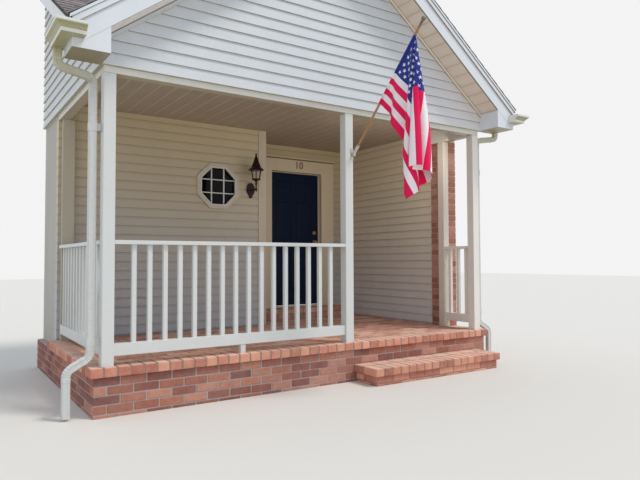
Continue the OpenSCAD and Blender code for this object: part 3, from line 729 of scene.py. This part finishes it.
# %% [markdown]
# ## Boarded ceiling and rake soffit
# The ceiling is made of narrow tan boards that run from the front to the house, with a groove
# between neighbours. One board with bevelled lower edges is copied across, and the sheet is cut
# to the ceiling's outline. The soffit under the rakes is made the same way, up each slope.


# %% Boards
def boards(name, width, length, thick):
    """Boards side by side along X, each running along Y, with their faces down."""
    one = block(name, (SLIT, 0, -thick), (BOARD - SLIT, length, 0))
    edit(one)
    pick(one, lambda p: p.z < -thick / 2)
    bpy.ops.mesh.bevel(offset=0.002, affect="EDGES")
    done()
    stack(one, math.ceil(width / BOARD), (BOARD, 0, 0))
    return slice_off(one, (width, 0, 0), (1, 0, 0))


low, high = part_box("ceiling")
cover = place(boards("ceiling_boards", high.x - low.x, high.y - low.y, 0.006),
              Matrix.Translation((low.x, low.y, CEILING)))
trim(cover, block("cutter", (low.x - 1, WINDOW_WALL, 0), (JOG, high.y + 1, 4)))
trim(cover, block("cutter", (SIDE - POST, low.y - 1, 0), (SIDE + 1, BRICK_END, 4)))
piece(cover, tan_boards)

# %% Rake soffit
low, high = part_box("rake_soffit")
panel = boards("rake_panels_left", SOFFIT_END / math.cos(GABLE_SLOPE), high.y - low.y, 0.005)
start = (-SOFFIT_END, low.y, low.z - GABLE_PITCH * (SOFFIT_END - SKIN))
place(panel, Matrix.Translation(start) @ Matrix.Rotation(-GABLE_SLOPE, 4, "Y"))
# The left slope's panels take the lit copy and the right's the shaded one: painted light and shade.
pair(slice_off(panel, (0, 0, 0), (1, 0, 0)), lit_soffit, soffit_vinyl)

# %% [markdown]
# A folded channel runs along the top of the gable's siding and covers its cut ends. From below
# it shows as two thin edges with a paler web between them, painted tan in shade on the right and
# grey on the left, where the top edge is a painted shadow. A metal drip edge covers the front of
# the roof deck, so only the shingles' own thickness stays dark.


# %% Strips along the rakes
def along_rakes(name, half_width, ridge, low, high, y0, y1):
    """A strip up both slopes. Its edges run low and high under the line that meets at ridge."""
    eave = ridge - GABLE_PITCH * half_width
    outline = [(-half_width, eave - low), (0, ridge - low), (half_width, eave - low),
               (half_width, eave - high), (0, ridge - high), (-half_width, eave - high)]
    return place(prism(name, outline, y1 - y0), Matrix.Translation((0, y0, 0)))


for name, low, high, proud, vinyl in (("rake_channel_web", 0.042, 0.0, 0.017, channel_web),
                                      ("rake_channel_foot", 0.050, 0.042, 0.021, channel_foot),
                                      ("rake_channel_top", 0.008, 0.0, 0.021, channel_top)):
    strip = along_rakes(name, SKIN, peak, low, high, GABLE_FACE - proud, GABLE_FACE)
    piece(strip, vinyl)
roof_low, roof_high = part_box("gable_roof_left")
ROOF, RIDGE, roof_front = -roof_low.x, roof_high.z, roof_low.y
piece(along_rakes("drip_edge", ROOF, RIDGE, 0.030, 0.005, roof_front - 0.003, roof_front + 0.002),
      white_metal)
seam = prism("return_seam_left", [(-EAVE, RETURN_FOOT), (-SKIN, corner), (-SKIN, corner - 0.004),
                                  (-EAVE + 0.005, RETURN_FOOT)], 0.004)
pair(place(seam, Matrix.Translation((0, rake_low.y + 0.0135, 0))), cream_metal)

# %% [markdown]
# ## Brickwork
# A brick is a block with worn arrises. The solids are the mortar, and each brick stands a few
# millimetres out of it. Every brick gets its own tone, and courses break joint by half a brick.

# %% Lay bricks
PROUD, EMBED, TOP = 0.005, 0.03, 0.002
SHORTEST, LOWEST = 0.03, 0.012
random.seed(7)
prototypes = {}


def brick_like(size, bevel):
    key = tuple(round(s, 3) for s in size)
    if key not in prototypes:
        half = size / 2
        prototypes[key] = block("brick", -half, half, min(bevel, min(size) / 4), 1)
    return prototypes[key]


def give_tone(o, low, high):
    """Gives all the faces of a brick or tab one random tone."""
    tone = o.data.attributes.new("tone", "FLOAT", "FACE")
    tone.data.foreach_set("value", [random.uniform(low, high)] * len(o.data.polygons))
    return o


def lay(name, boxes, material, slot, bevel=0.004, low=0.0, high=1.0):
    """Bricks in the given boxes, joined into one piece."""
    laid = []
    for a, b in boxes:
        a, b = Vector(a), Vector(b)
        wobble = [random.uniform(-0.001, 0.001) for _ in range(3)]
        twin = copy_of(brick_like(b - a, bevel), (a + b) / 2 + Vector(wobble))
        laid.append(give_tone(twin, low, high))
    return piece(join(name, laid), material)


def cuts(start, end, row=0):
    """The bricks of one course as pairs of ends, with cut bricks where it starts and stops."""
    pairs, at = [], start - (row % 2) * (BRICK_LENGTH + JOINT) / 2
    while at < end - 0.02:
        a, b = max(at, start), min(at + BRICK_LENGTH, end)
        if b - a > SHORTEST:
            pairs.append((a, b))
        at += BRICK_LENGTH + JOINT
    return pairs


def courses(top, bottom):
    """The courses from the top down, as pairs of heights."""
    pairs = []
    while top - JOINT > bottom + LOWEST:
        pairs.append((max(top - JOINT - BRICK_HEIGHT, bottom), top - JOINT))
        top -= BRICK_HEIGHT + JOINT
    return pairs


# %% The base's walls
def box_along(axis, a, b, low, high, z0, z1):
    """A box from a to b along one axis, and from low to high across it."""
    return ((a, low, z0), (b, high, z1)) if axis == "x" else ((low, a, z0), (high, b, z1))


def brick_face(axis, plane, outwards, start, end, top):
    """Brick boxes on an upright face that runs along X or Y, from the ground to its top."""
    inner, outer = sorted((plane - outwards * EMBED, plane + outwards * PROUD))
    return [box_along(axis, a, b, inner, outer, z0, z1) for i, (z0, z1) in enumerate(courses(top, 0))
            for a, b in cuts(start, end, i)]


low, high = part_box("base_block")
walls = []
for face_at in (("x", low.y, -1, -BASE, BASE), ("y", -BASE, -1, low.y, BACK),
                ("y", BASE, 1, low.y, BRICK_FACE), ("y", OUTER, 1, BRICK_FACE, BACK),
                ("x", BRICK_FACE, -1, BASE, OUTER)):
    walls += brick_face(*face_at, high.z)
lay("base_bricks", walls, wall_brick, "brick", low=0.25, high=1.0)

# %% The brick corner
low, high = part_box("brick_corner")
pier = []
for i, (z0, z1) in enumerate(courses(high.z + JOINT, low.z)):
    pier += [((low.x - PROUD, a - (PROUD if a == low.y else 0), z0), (high.x + PROUD, b, z1))
             for a, b in cuts(low.y, high.y, i)]
lay("corner_bricks", pier, wall_brick, "brick", low=0.5, high=1.1)

# %% [markdown]
# The floor's edge and the steps' edges are bricks set crosswise, side by side, so that their ends
# show in front. The floor inside the edge is laid flat, in courses that run along the front.

# %% The floor's edge
HEADER = 0.098


def crosswise(axis, start, end, low, high, z0, z1):
    """Bricks side by side along one axis, each reaching from low to high across it."""
    count = round((end - start + JOINT) / (HEADER + JOINT))
    pitch = (end - start + JOINT) / count
    return [box_along(axis, start + i * pitch, start + (i + 1) * pitch - JOINT, low, high, z0, z1)
            for i in range(count)]


WORN = {"bevel": 0.006, "low": 0.15, "high": 0.95}
low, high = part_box("floor_edge")
left, right, front = low.x - PROUD, high.x + PROUD, low.y - PROUD
z0, z1 = low.z - PROUD, high.z + TOP
edge_width = 0.2
inside = low.y + edge_width
edge = crosswise("x", left, right, front, inside - JOINT, z0, z1)
edge += crosswise("y", inside, WINDOW_WALL - 0.002, left, low.x + edge_width - JOINT, z0, z1)
edge += crosswise("y", inside, BRICK_FACE - 0.008, high.x - edge_width + JOINT, right, z0, z1)
lay("floor_edge_bricks", edge, step_brick, "floor_brick", **WORN)

# %% The floor
paving_right = high.x - edge_width
paving_left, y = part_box("floor_paving")[0].xy
floor, i = [], 0
while y < DOOR_WALL - 0.03:
    y1 = min(y + HEADER, DOOR_WALL - 0.002)
    left = JOG + 0.025 if y1 > WINDOW_WALL else paving_left
    right = SIDE - 0.01 if y > BRICK_FACE else paving_right
    floor += [((a, y, FLOOR - EMBED), (b, y1, FLOOR + TOP)) for a, b in cuts(left, right, i)]
    y, i = y + HEADER + JOINT, i + 1
lay("floor_bricks", floor, floor_brick, "floor_brick", low=0.1, high=0.9)

# %% The steps
low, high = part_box("lower_step")
left, right, front = low.x - PROUD, high.x + PROUD, low.y - PROUD
nosing = 0.025
tread = high.z - 0.07
half = low.y + BRICK_LENGTH
back = high.y - 0.006
step = crosswise("x", left, right, front, half, tread - PROUD, high.z + TOP)
step += [((a, half + JOINT, tread), (b, back, high.z + TOP)) for a, b in cuts(left, right)]
for face_at in (("x", low.y + nosing, -1, low.x + nosing, high.x - nosing),
                ("y", low.x + nosing, -1, low.y + nosing, back),
                ("y", high.x - nosing, 1, low.y + nosing, back)):
    step += brick_face(*face_at, tread)
lay("lower_step_bricks", step, step_brick, "floor_brick", **WORN)

low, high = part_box("door_step")
left, right, front, back = low.x - PROUD, high.x + PROUD, low.y - PROUD, DOOR_WALL - 0.03
foot = high.z - 0.005 - HEADER * 0.62
sill = crosswise("x", left, right, front, back, foot, high.z + TOP)
sill += [((a, front, FLOOR + 0.008), (b, back, foot - JOINT)) for a, b in cuts(left, right)]
lay("door_step_bricks", sill, floor_brick, "floor_brick", low=0.15, high=0.9)
for o in prototypes.values():
    bpy.data.objects.remove(o)

# %% [markdown]
# ## Shingles
# A roof slope is rows of tabs. Each tab is a thin block that lies on the tab below, so its lower
# edge stands up and throws the dark line of its course. Rows are laid in the slope's own plane,
# placed by a matrix, and cut along the valley, the ridge and the edges.

# %% Rows of tabs
TAB, EXPOSURE, OVERLAP, THICK = 0.305, 0.143, 0.03, 0.006
OVERHANG = 0.008


def tabs(name, width, length):
    """Rows of tabs in a plane: X along the eave, Y up the slope, Z out of the roof."""
    one = block("tab", (0.003, 0, 0), (TAB - 0.003, EXPOSURE + OVERLAP, THICK))
    lean = Matrix.Rotation(-THICK / EXPOSURE, 4, "X")
    one.data.transform(Matrix.Translation((0, 0, THICK)) @ lean)
    laid = []
    for row in range(math.ceil(length / EXPOSURE)):
        start = -TAB * (0.5 * (row % 2)) - random.uniform(0, 0.02)
        for i in range(math.ceil((width - start) / TAB)):
            laid.append(give_tone(copy_of(one, (start + i * TAB, row * EXPOSURE, 0)), 0.1, 0.9))
    bpy.data.objects.remove(one)
    return join(name, laid)


def turned_to(origin, x, y, z):
    """A matrix that carries the three axes to these directions, and the origin to this place."""
    return Matrix.Translation(origin) @ Matrix((x, y, z)).transposed().to_4x4()


def shingle_slope(covering, origin, along, up, *planes):
    """Puts rows of tabs on a slope and drops what is past the planes, at the left and the right."""
    along, up = Vector(along).normalized(), Vector(up).normalized()
    place(covering, turned_to(origin, along, up, along.cross(up)))
    for point, normal in planes:
        slice_off(covering, point, normal)
    pair(covering, shingle)


# %% The gable's slopes and the house roof
house_low, house_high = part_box("house_roof")
house_depth = BACK - house_low.y
valley_start = Vector((-ROOF, house_low.y, 0))
valley_end = Vector((-(RIDGE - house_high.z) / GABLE_PITCH, BACK, 0))
along_valley = valley_end - valley_start
off_valley = Vector((-along_valley.y, along_valley.x, 0))
eave_line = -ROOF - OVERHANG
shingle_slope(tabs("gable_shingles_left", BACK - roof_front, ROOF / math.cos(GABLE_SLOPE) + 0.01),
              (eave_line, BACK, RIDGE - GABLE_PITCH * ROOF - THICK), (0, -1, 0), (1, 0, GABLE_PITCH),
              ((0, roof_front - THICK, 0), (0, -1, 0)), ((0, BACK, 0), (0, 1, 0)),
              ((-0.001, 0, 0), (1, 0, 0)), (valley_start, off_valley))
shingle_slope(tabs("house_shingles_left", ROOF + 0.01, house_depth / math.cos(HOUSE_SLOPE)),
              (eave_line, house_low.y - 0.004, house_high.z - HOUSE_PITCH * house_depth),
              (1, 0, 0), (0, 1, HOUSE_PITCH),
              ((0, BACK, 0), (0, 1, 0)), ((eave_line, 0, 0), (-1, 0, 0)), (valley_start, -off_valley))

# %% Caps along the ridge
WING = 0.15
tip = -WING * GABLE_PITCH
cap = prism("ridge_cap", [(WING, tip), (WING, tip + 0.008), (0, 0.010), (-WING, tip + 0.008),
                          (-WING, tip), (0, 0.002)], EXPOSURE + OVERLAP)
cap.data.transform(Matrix.Rotation(0.04, 4, "X"))
caps = []
y = roof_front - 0.004
while y < BACK - 0.02:
    caps.append(give_tone(copy_of(cap, (0, y, RIDGE + 0.008)), 0.2, 0.8))
    y += EXPOSURE
bpy.data.objects.remove(cap)
piece(slice_off(join("ridge_caps", caps), (0, BACK, 0), (0, 1, 0)), shingle)

# %% [markdown]
# ## Downspouts
# A downspout is a fluted tube of thin sheet metal. Its elbows are crimped, and each elbow's end
# slips over the pipe below. The tube's outline is carried along a line with rounded corners, a
# step at a time, by extruding its end and moving it to the next place.


# %% The tube's outline, and the line it follows
def fluted(width, depth, corner=0.007, flute=0.002):
    outline = []
    for i, (c, s) in enumerate(((1, 0), (0, 1), (-1, 0), (0, -1))):
        a, b = (width / 2, depth / 2) if i % 2 == 0 else (depth / 2, width / 2)
        side = [(corner - a, -b), (-0.4 * a, -b), (-0.28 * a, flute - b), (0.28 * a, flute - b),
                (0.4 * a, -b), (a - corner, -b)]
        outline += [(x * c - y * s, x * s + y * c) for x, y in side]
    return outline


def stations(points, radius, steps=10, crimp=0.05):
    """Places along a line with rounded, crimped corners, each as a matrix for the outline."""
    line = [(points[0], points[1] - points[0], 1.0)]
    for before, at, after in zip(points, points[1:], points[2:]):
        into, out = (at - before).normalized(), (after - at).normalized()
        start, end = at - into * radius, at + out * radius
        for i in range(steps + 1):
            t = i / steps
            spot = start * (1 - t) ** 2 + at * 2 * t * (1 - t) + end * t * t
            line.append((spot, into * (1 - t) + out * t, 1 - crimp if i % 2 else 1 + crimp))
        line += [(end + out * 0.030, out, 1 + crimp), (end + out * 0.031, out, 1.0)]
    line.append((points[-1], points[-1] - points[-2], 1.0))
    found = []
    for spot, direction, size in line:
        ahead = direction.normalized()
        side = (Vector((0, 1, 0)) - ahead * ahead.y).normalized()
        found.append(turned_to(spot, side.cross(ahead) * size, side * size, ahead))
    return found


def sweep(name, outline, places):
    o = face(name, [places[0] @ Vector((x, y, 0)) for x, y in outline])
    edit(o, "SELECT")
    for before, after in zip(places, places[1:]):
        bpy.ops.mesh.extrude_region_move()
        mesh = bmesh.from_edit_mesh(o.data)
        move = after @ before.inverted()
        for v in mesh.verts:
            if v.select:
                v.co = move @ v.co
        bmesh.update_edit_mesh(o.data)
    bpy.ops.mesh.inset(thickness=0.0015)
    bpy.ops.mesh.extrude_region_move(TRANSFORM_OT_translate={"value": (0, 0, 0.08)})
    return close(o)


# %% Two downspouts with their straps
spout_low, spout_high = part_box("downspouts")
DROP, WALL_LINE, FOOT_LINE = spout_low.x + 0.031, -SIDE - 0.066, -SIDE - 0.246
turns = [(DROP, -0.026, spout_high.z), (DROP, -0.026, BEAM - 0.005), (WALL_LINE, 0.035, BEAM - 0.043),
         (WALL_LINE, 0.035, FLOOR + 0.08), (FOOT_LINE, 0.035, FLOOR - 0.02),
         (FOOT_LINE, 0.035, spout_low.z)]
spout = [sweep("tube", fluted(0.062, 0.050), stations([Vector(turn) for turn in turns], 0.05))]
for z in (FLOOR + 0.165, BEAM - 0.475):
    spout.append(block("strap", (WALL_LINE - 0.033, 0.008, z), (WALL_LINE + 0.033, 0.062, z + 0.070), 0.002))
    spout.append(block("strap_end", (WALL_LINE + 0.030, 0.012, z + 0.004), (-SIDE, 0.042, z + 0.066), 0.003))
for o in pair(join("downspout_left", spout), pipe_metal):
    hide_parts("downspouts")

# %% [markdown]
# ## The window's bars
# Thin bars divide the eight-sided window into panes. They are straight bars with rounded edges,
# two each way, and their ends run into the frame.

# %% Window bars
low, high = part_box("window_glass")
middle = (low + high) / 2
reach = (high.x - low.x) / 2 + 0.005
back = low.y + 0.002
bars = []
for offset in (-0.083, 0.083):
    x, z = middle.x + offset, middle.z + offset
    bars.append(block("bar", (x - 0.008, low.y - 0.012, middle.z - reach),
                      (x + 0.008, back, middle.z + reach), 0.003))
    bars.append(block("bar", (middle.x - reach, low.y - 0.011, z - 0.007),
                      (middle.x + reach, back, z + 0.007), 0.003))
cutter = eight_sided("cutter", "window_glass", 0.004, WINDOW_WALL - REACH, WINDOW_WALL + REACH)
piece(trim(join("window_bars", bars), cutter, "INTERSECT"), white_vinyl)

# %% The window's inner bead
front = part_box("window_frame")[0].y - 0.004
bead = eight_sided("window_bead", "window_glass", 0.022, front, front + 0.012)
trim(bead, eight_sided("cutter", "window_glass", -0.006, front - REACH, front + REACH))
piece(apply(bead, "BEVEL", width=0.002, segments=2), white_vinyl)

# %% [markdown]
# ## The door
# Each sunk panel of a panelled door has a raised field in it. A field is a block whose front face
# is inset and pulled out, so that it has sloped edges. It rides on the door.

# %% Raised fields
RAISED = 0.006


def raised_field(x0, x1, z0, z1, y, out):
    """A field on the plane at y that stands out towards -Y or Y."""
    near, far = sorted((y, y + out * RAISED))
    field = block("field", (x0, near, z0), (x1, far, z1))
    edit(field)
    pick(field, lambda p: (p.y - y) * out > RAISED / 2)
    bpy.ops.mesh.select_mode(type="FACE")
    bpy.ops.mesh.inset(thickness=0.022, depth=0.0)
    bpy.ops.transform.translate(value=(0, out * 0.004, 0))
    done()
    return field


low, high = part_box("door_leaf")
tall = high.z - low.z
stile, mid, sunk, margin = 0.118, 0.110, 0.009, 0.018
panel_width = (high.x - low.x - 2 * stile - mid) / 2
fields = []
for bottom, top in ((0.115, 0.4), (0.475, 0.79), (0.855, 0.945)):
    for column in (0, 1):
        x = low.x + stile + column * (panel_width + mid)
        for y, out in ((low.y + sunk, -1), (high.y - sunk, 1)):
            fields.append(raised_field(x + margin, x + panel_width - margin, low.z + bottom * tall + margin,
                                       low.z + top * tall - margin, y, out))
piece(join("door_fields", fields), navy_paint, body="door")

# %% A small moulding under the door's cap, painted dark as the cap's shadow
low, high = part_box("door_frame")
profile = [(0.024, -0.038), (0.026, -0.038), (0.036, -0.030), (0.042, -0.0225), (0.024, -0.0225)]
mould = prism("door_cap_mould", profile, high.x - low.x - 0.05)
start = Matrix.Translation((low.x + 0.025, DOOR_WALL, high.z))
piece(place(mould, start @ Matrix.Rotation(-math.pi / 2, 4, "Z")), cap_shade)

# %% House number
number = add("house_number", bpy.ops.object.text_add, rotation=(math.pi / 2, 0, 0),
             location=((low.x + high.x) / 2 + 0.030, DOOR_WALL - 0.026, high.z - 0.162))
assign(number.data, body="10", align_x="CENTER", size=0.15, extrude=0.004, bevel_depth=0.0012)
bpy.ops.object.convert(target="MESH")
piece(place(bpy.context.object), number_bronze)

# %% [markdown]
# ## The flag
# The flag hangs limp from the upper half of the slanted pole, held along its hoist. It starts as
# a flat grid in the pole's plane, its hoist pinned, and the cloth simulation lets it fall. The
# pattern follows the cloth, so the material reads the grid's own UV map.

# %% The flat flag
HOIST, FLY, POLE_R = 0.72, 1.20, 0.012
low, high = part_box("flag_pole")
tilt = math.radians(45.6)
up_pole = Vector((0, -math.cos(tilt), math.sin(tilt)))
away = Vector((0, -math.sin(tilt), -math.cos(tilt)))
foot = Vector(((low.x + high.x) / 2, -0.078, 2.348))
lower = foot + up_pole * 0.588
flag = add("flag_cloth", bpy.ops.mesh.primitive_grid_add, x_subdivisions=84, y_subdivisions=50, size=1,
           calc_uvs=True)
for v in flag.data.vertices:
    u, w = v.co.x + 0.5, v.co.y + 0.5
    ripple = 0.14 * math.sin(math.tau * 1.25 * w + 3.4) * min(1, u * 1.5)
    v.co = lower + up_pole * (w * HOIST) + away * (u * FLY + POLE_R) + Vector((ripple, 0, 0))
hoist = flag.vertex_groups.new(name="hoist")
hoist.add([v.index for v in flag.data.vertices if (v.co - lower).dot(away) < POLE_R + 0.001], 1.0, "ADD")


# %% Let it fall
def fall(cloth, frames):
    modifier = cloth.modifiers.new("cloth", "CLOTH")
    assign(modifier.settings, quality=6, mass=0.15, air_damping=2.0, tension_stiffness=25,
           compression_stiffness=25, shear_stiffness=6, bending_stiffness=3, vertex_group_mass="hoist")
    assign(modifier.collision_settings, use_self_collision=True, self_distance_min=0.006)
    assign(modifier.point_cache, frame_start=1, frame_end=frames)
    scene = bpy.context.scene
    for number in range(1, frames + 1):
        scene.frame_set(number)
    only(cloth)
    bpy.ops.object.modifier_apply(modifier=modifier.name)
    scene.frame_set(1)


fall(flag, 90)
apply(flag, "SOLIDIFY", thickness=0.0012, offset=0)
bpy.ops.object.shade_smooth()

# %% [markdown]
# The pattern is arithmetic on U and V: thirteen stripes, and a blue corner with a grid of stars,
# of which every second place is empty. A star is where a folded angle keeps inside a straight line.


# %% The flag's pattern
def flag_finish():
    material = finish("flag_cloth", None, amount=0.05, roughness=0.75, spread=0.1, bump=0.0002,
                      grain=900, sheen=0.03, specular=0.2)
    tree = material.node_tree
    do = partial(maths, tree)
    uv = wire(tree, "ShaderNodeSeparateXYZ", {0: wire(tree, "ShaderNodeUVMap").outputs[0]}).outputs
    u, v = uv[0], uv[1]
    red = do("LESS_THAN", do("MODULO", do("MULTIPLY", v, 13.0), 2.0), 1.0)
    stripes = blend_colours(tree, red, (0.93, 0.90, 0.91), (0.90, 0.006, 0.100))

    wide, foot, columns, rows = 0.4, 6 / 13, 12, 10
    corner = do("MULTIPLY", do("LESS_THAN", u, wide), do("GREATER_THAN", v, foot))
    column = do("MULTIPLY", u, columns / wide)
    row = do("MULTIPLY", do("SUBTRACT", v, foot), rows * 13 / 7)
    i, j = do("ROUND", column), do("ROUND", row)
    dx = do("MULTIPLY", do("SUBTRACT", column, i), wide / columns * FLY)
    dy = do("MULTIPLY", do("SUBTRACT", row, j), 7 / 13 / rows * HOIST)
    radius = do("SQRT", do("ADD", do("MULTIPLY", dx, dx), do("MULTIPLY", dy, dy)))
    fifth = math.tau / 5
    angle = do("ADD", do("ARCTAN2", dx, dy), fifth * 10.5)
    folded = do("ABSOLUTE", do("SUBTRACT", do("MODULO", angle, fifth), fifth / 2))
    reach = do("MULTIPLY", radius, do("COSINE", do("SUBTRACT", fifth, folded)))
    star = do("LESS_THAN", reach, 0.309 * 0.0308 * HOIST)
    star = do("MULTIPLY", star, do("LESS_THAN", do("MODULO", do("ADD", i, j), 2.0), 0.5))
    for value, count in ((i, columns), (j, rows)):
        star = do("MULTIPLY", star, do("GREATER_THAN", value, 0.5))
        star = do("MULTIPLY", star, do("LESS_THAN", value, count - 0.5))
    blue = blend_colours(tree, star, (0.026, 0.040, 0.27), (0.90, 0.90, 0.93))
    return recolour(material, blend_colours(tree, corner, stripes, blue))


flag_pattern = flag_finish()
piece(flag, flag_pattern)

# %% The sleeve that holds the flag on its pole
sleeve = add("flag_sleeve", bpy.ops.mesh.primitive_cylinder_add, vertices=20, radius=POLE_R + 0.0022,
             depth=HOIST, end_fill_type="NOTHING", location=lower + up_pole * (HOIST / 2),
             rotation=(math.pi / 2 - tilt, 0, 0))
apply(sleeve, "SOLIDIFY", thickness=0.0015, offset=-1)
place(sleeve)
for loop, spot in zip(sleeve.data.loops, sleeve.data.uv_layers.active.data):
    spot.uv = (0.005, (sleeve.data.vertices[loop.vertex_index].co - lower).dot(up_pole) / HOIST)
bpy.ops.object.shade_smooth()
piece(sleeve, flag_pattern)
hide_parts("flag")

# %% [markdown]
# ## Stage, light and camera
# The floor is a pale plane. The light is a soft sun from the front right and a pale sky, so that
# colours render about as they are written. A weak lamp under the front beam stands for the light
# that sunlit ground throws up into the entry. The camera stands where the photograph was taken.

# %% Stage
ground = add("ground", bpy.ops.mesh.primitive_plane_add, size=80, location=(0, 0, -0.0005))
pale_ground, tree, shader = new_material("pale_ground")
feed(tree, shader, {"Base Color": (0.76, 0.73, 0.68), "Roughness": 0.9})
ground.data.materials.append(pale_ground)

# %% Light
world = bpy.data.worlds.new("sky")
bpy.context.scene.world = world
world.use_nodes = True
tree = world.node_tree
sky = tree.nodes["Background"]
feed(tree, sky, {"Color": (0.80, 0.88, 1.0), "Strength": 0.75})
seen = wire(tree, "ShaderNodeBackground", {"Color": (0.9, 0.9, 0.9), "Strength": 1.0})
rays = wire(tree, "ShaderNodeLightPath").outputs
mirrored = maths(tree, "MAXIMUM", rays["Is Glossy Ray"], rays["Is Transmission Ray"])
direct = maths(tree, "MAXIMUM", rays["Is Camera Ray"], mirrored)
mix = wire(tree, "ShaderNodeMixShader", {0: direct, 1: sky.outputs[0], 2: seen.outputs[0]})
feed(tree, tree.nodes["World Output"], {"Surface": mix.outputs[0]})

sun = add("soft_sun", bpy.ops.object.light_add, type="SUN",
          rotation=(math.radians(32), 0, math.radians(40)))
assign(sun.data, energy=1.6, angle=math.radians(14), color=(1.0, 0.96, 0.90))

fill = add("entry_fill", bpy.ops.object.light_add, type="AREA", location=(1.25, 0.25, 2.55),
           rotation=(math.radians(68), 0, 0))
assign(fill.data, shape="RECTANGLE", size=1.7, size_y=0.5, energy=4.5, color=(1.0, 0.95, 0.86))
fill.visible_camera = fill.visible_glossy = False

# %% Camera
yaw, pitch, roll = math.radians(33.94), math.radians(2.01), math.radians(-0.20)
SENSOR, IMAGE_WIDTH, FOCAL_PIXELS = 36, 640, 582.57
camera = add("camera", bpy.ops.object.camera_add)
camera.matrix_world = (Matrix.Translation((-3.3531, -4.8437, 1.2356)) @ Matrix.Rotation(-yaw, 4, "Z")
                       @ Matrix.Rotation(math.pi / 2 + pitch, 4, "X") @ Matrix.Rotation(roll, 4, "Z"))
assign(camera.data, sensor_width=SENSOR, lens=FOCAL_PIXELS / IMAGE_WIDTH * SENSOR)
bpy.context.scene.camera = camera
bpy.context.scene.view_settings.view_transform = "Standard"
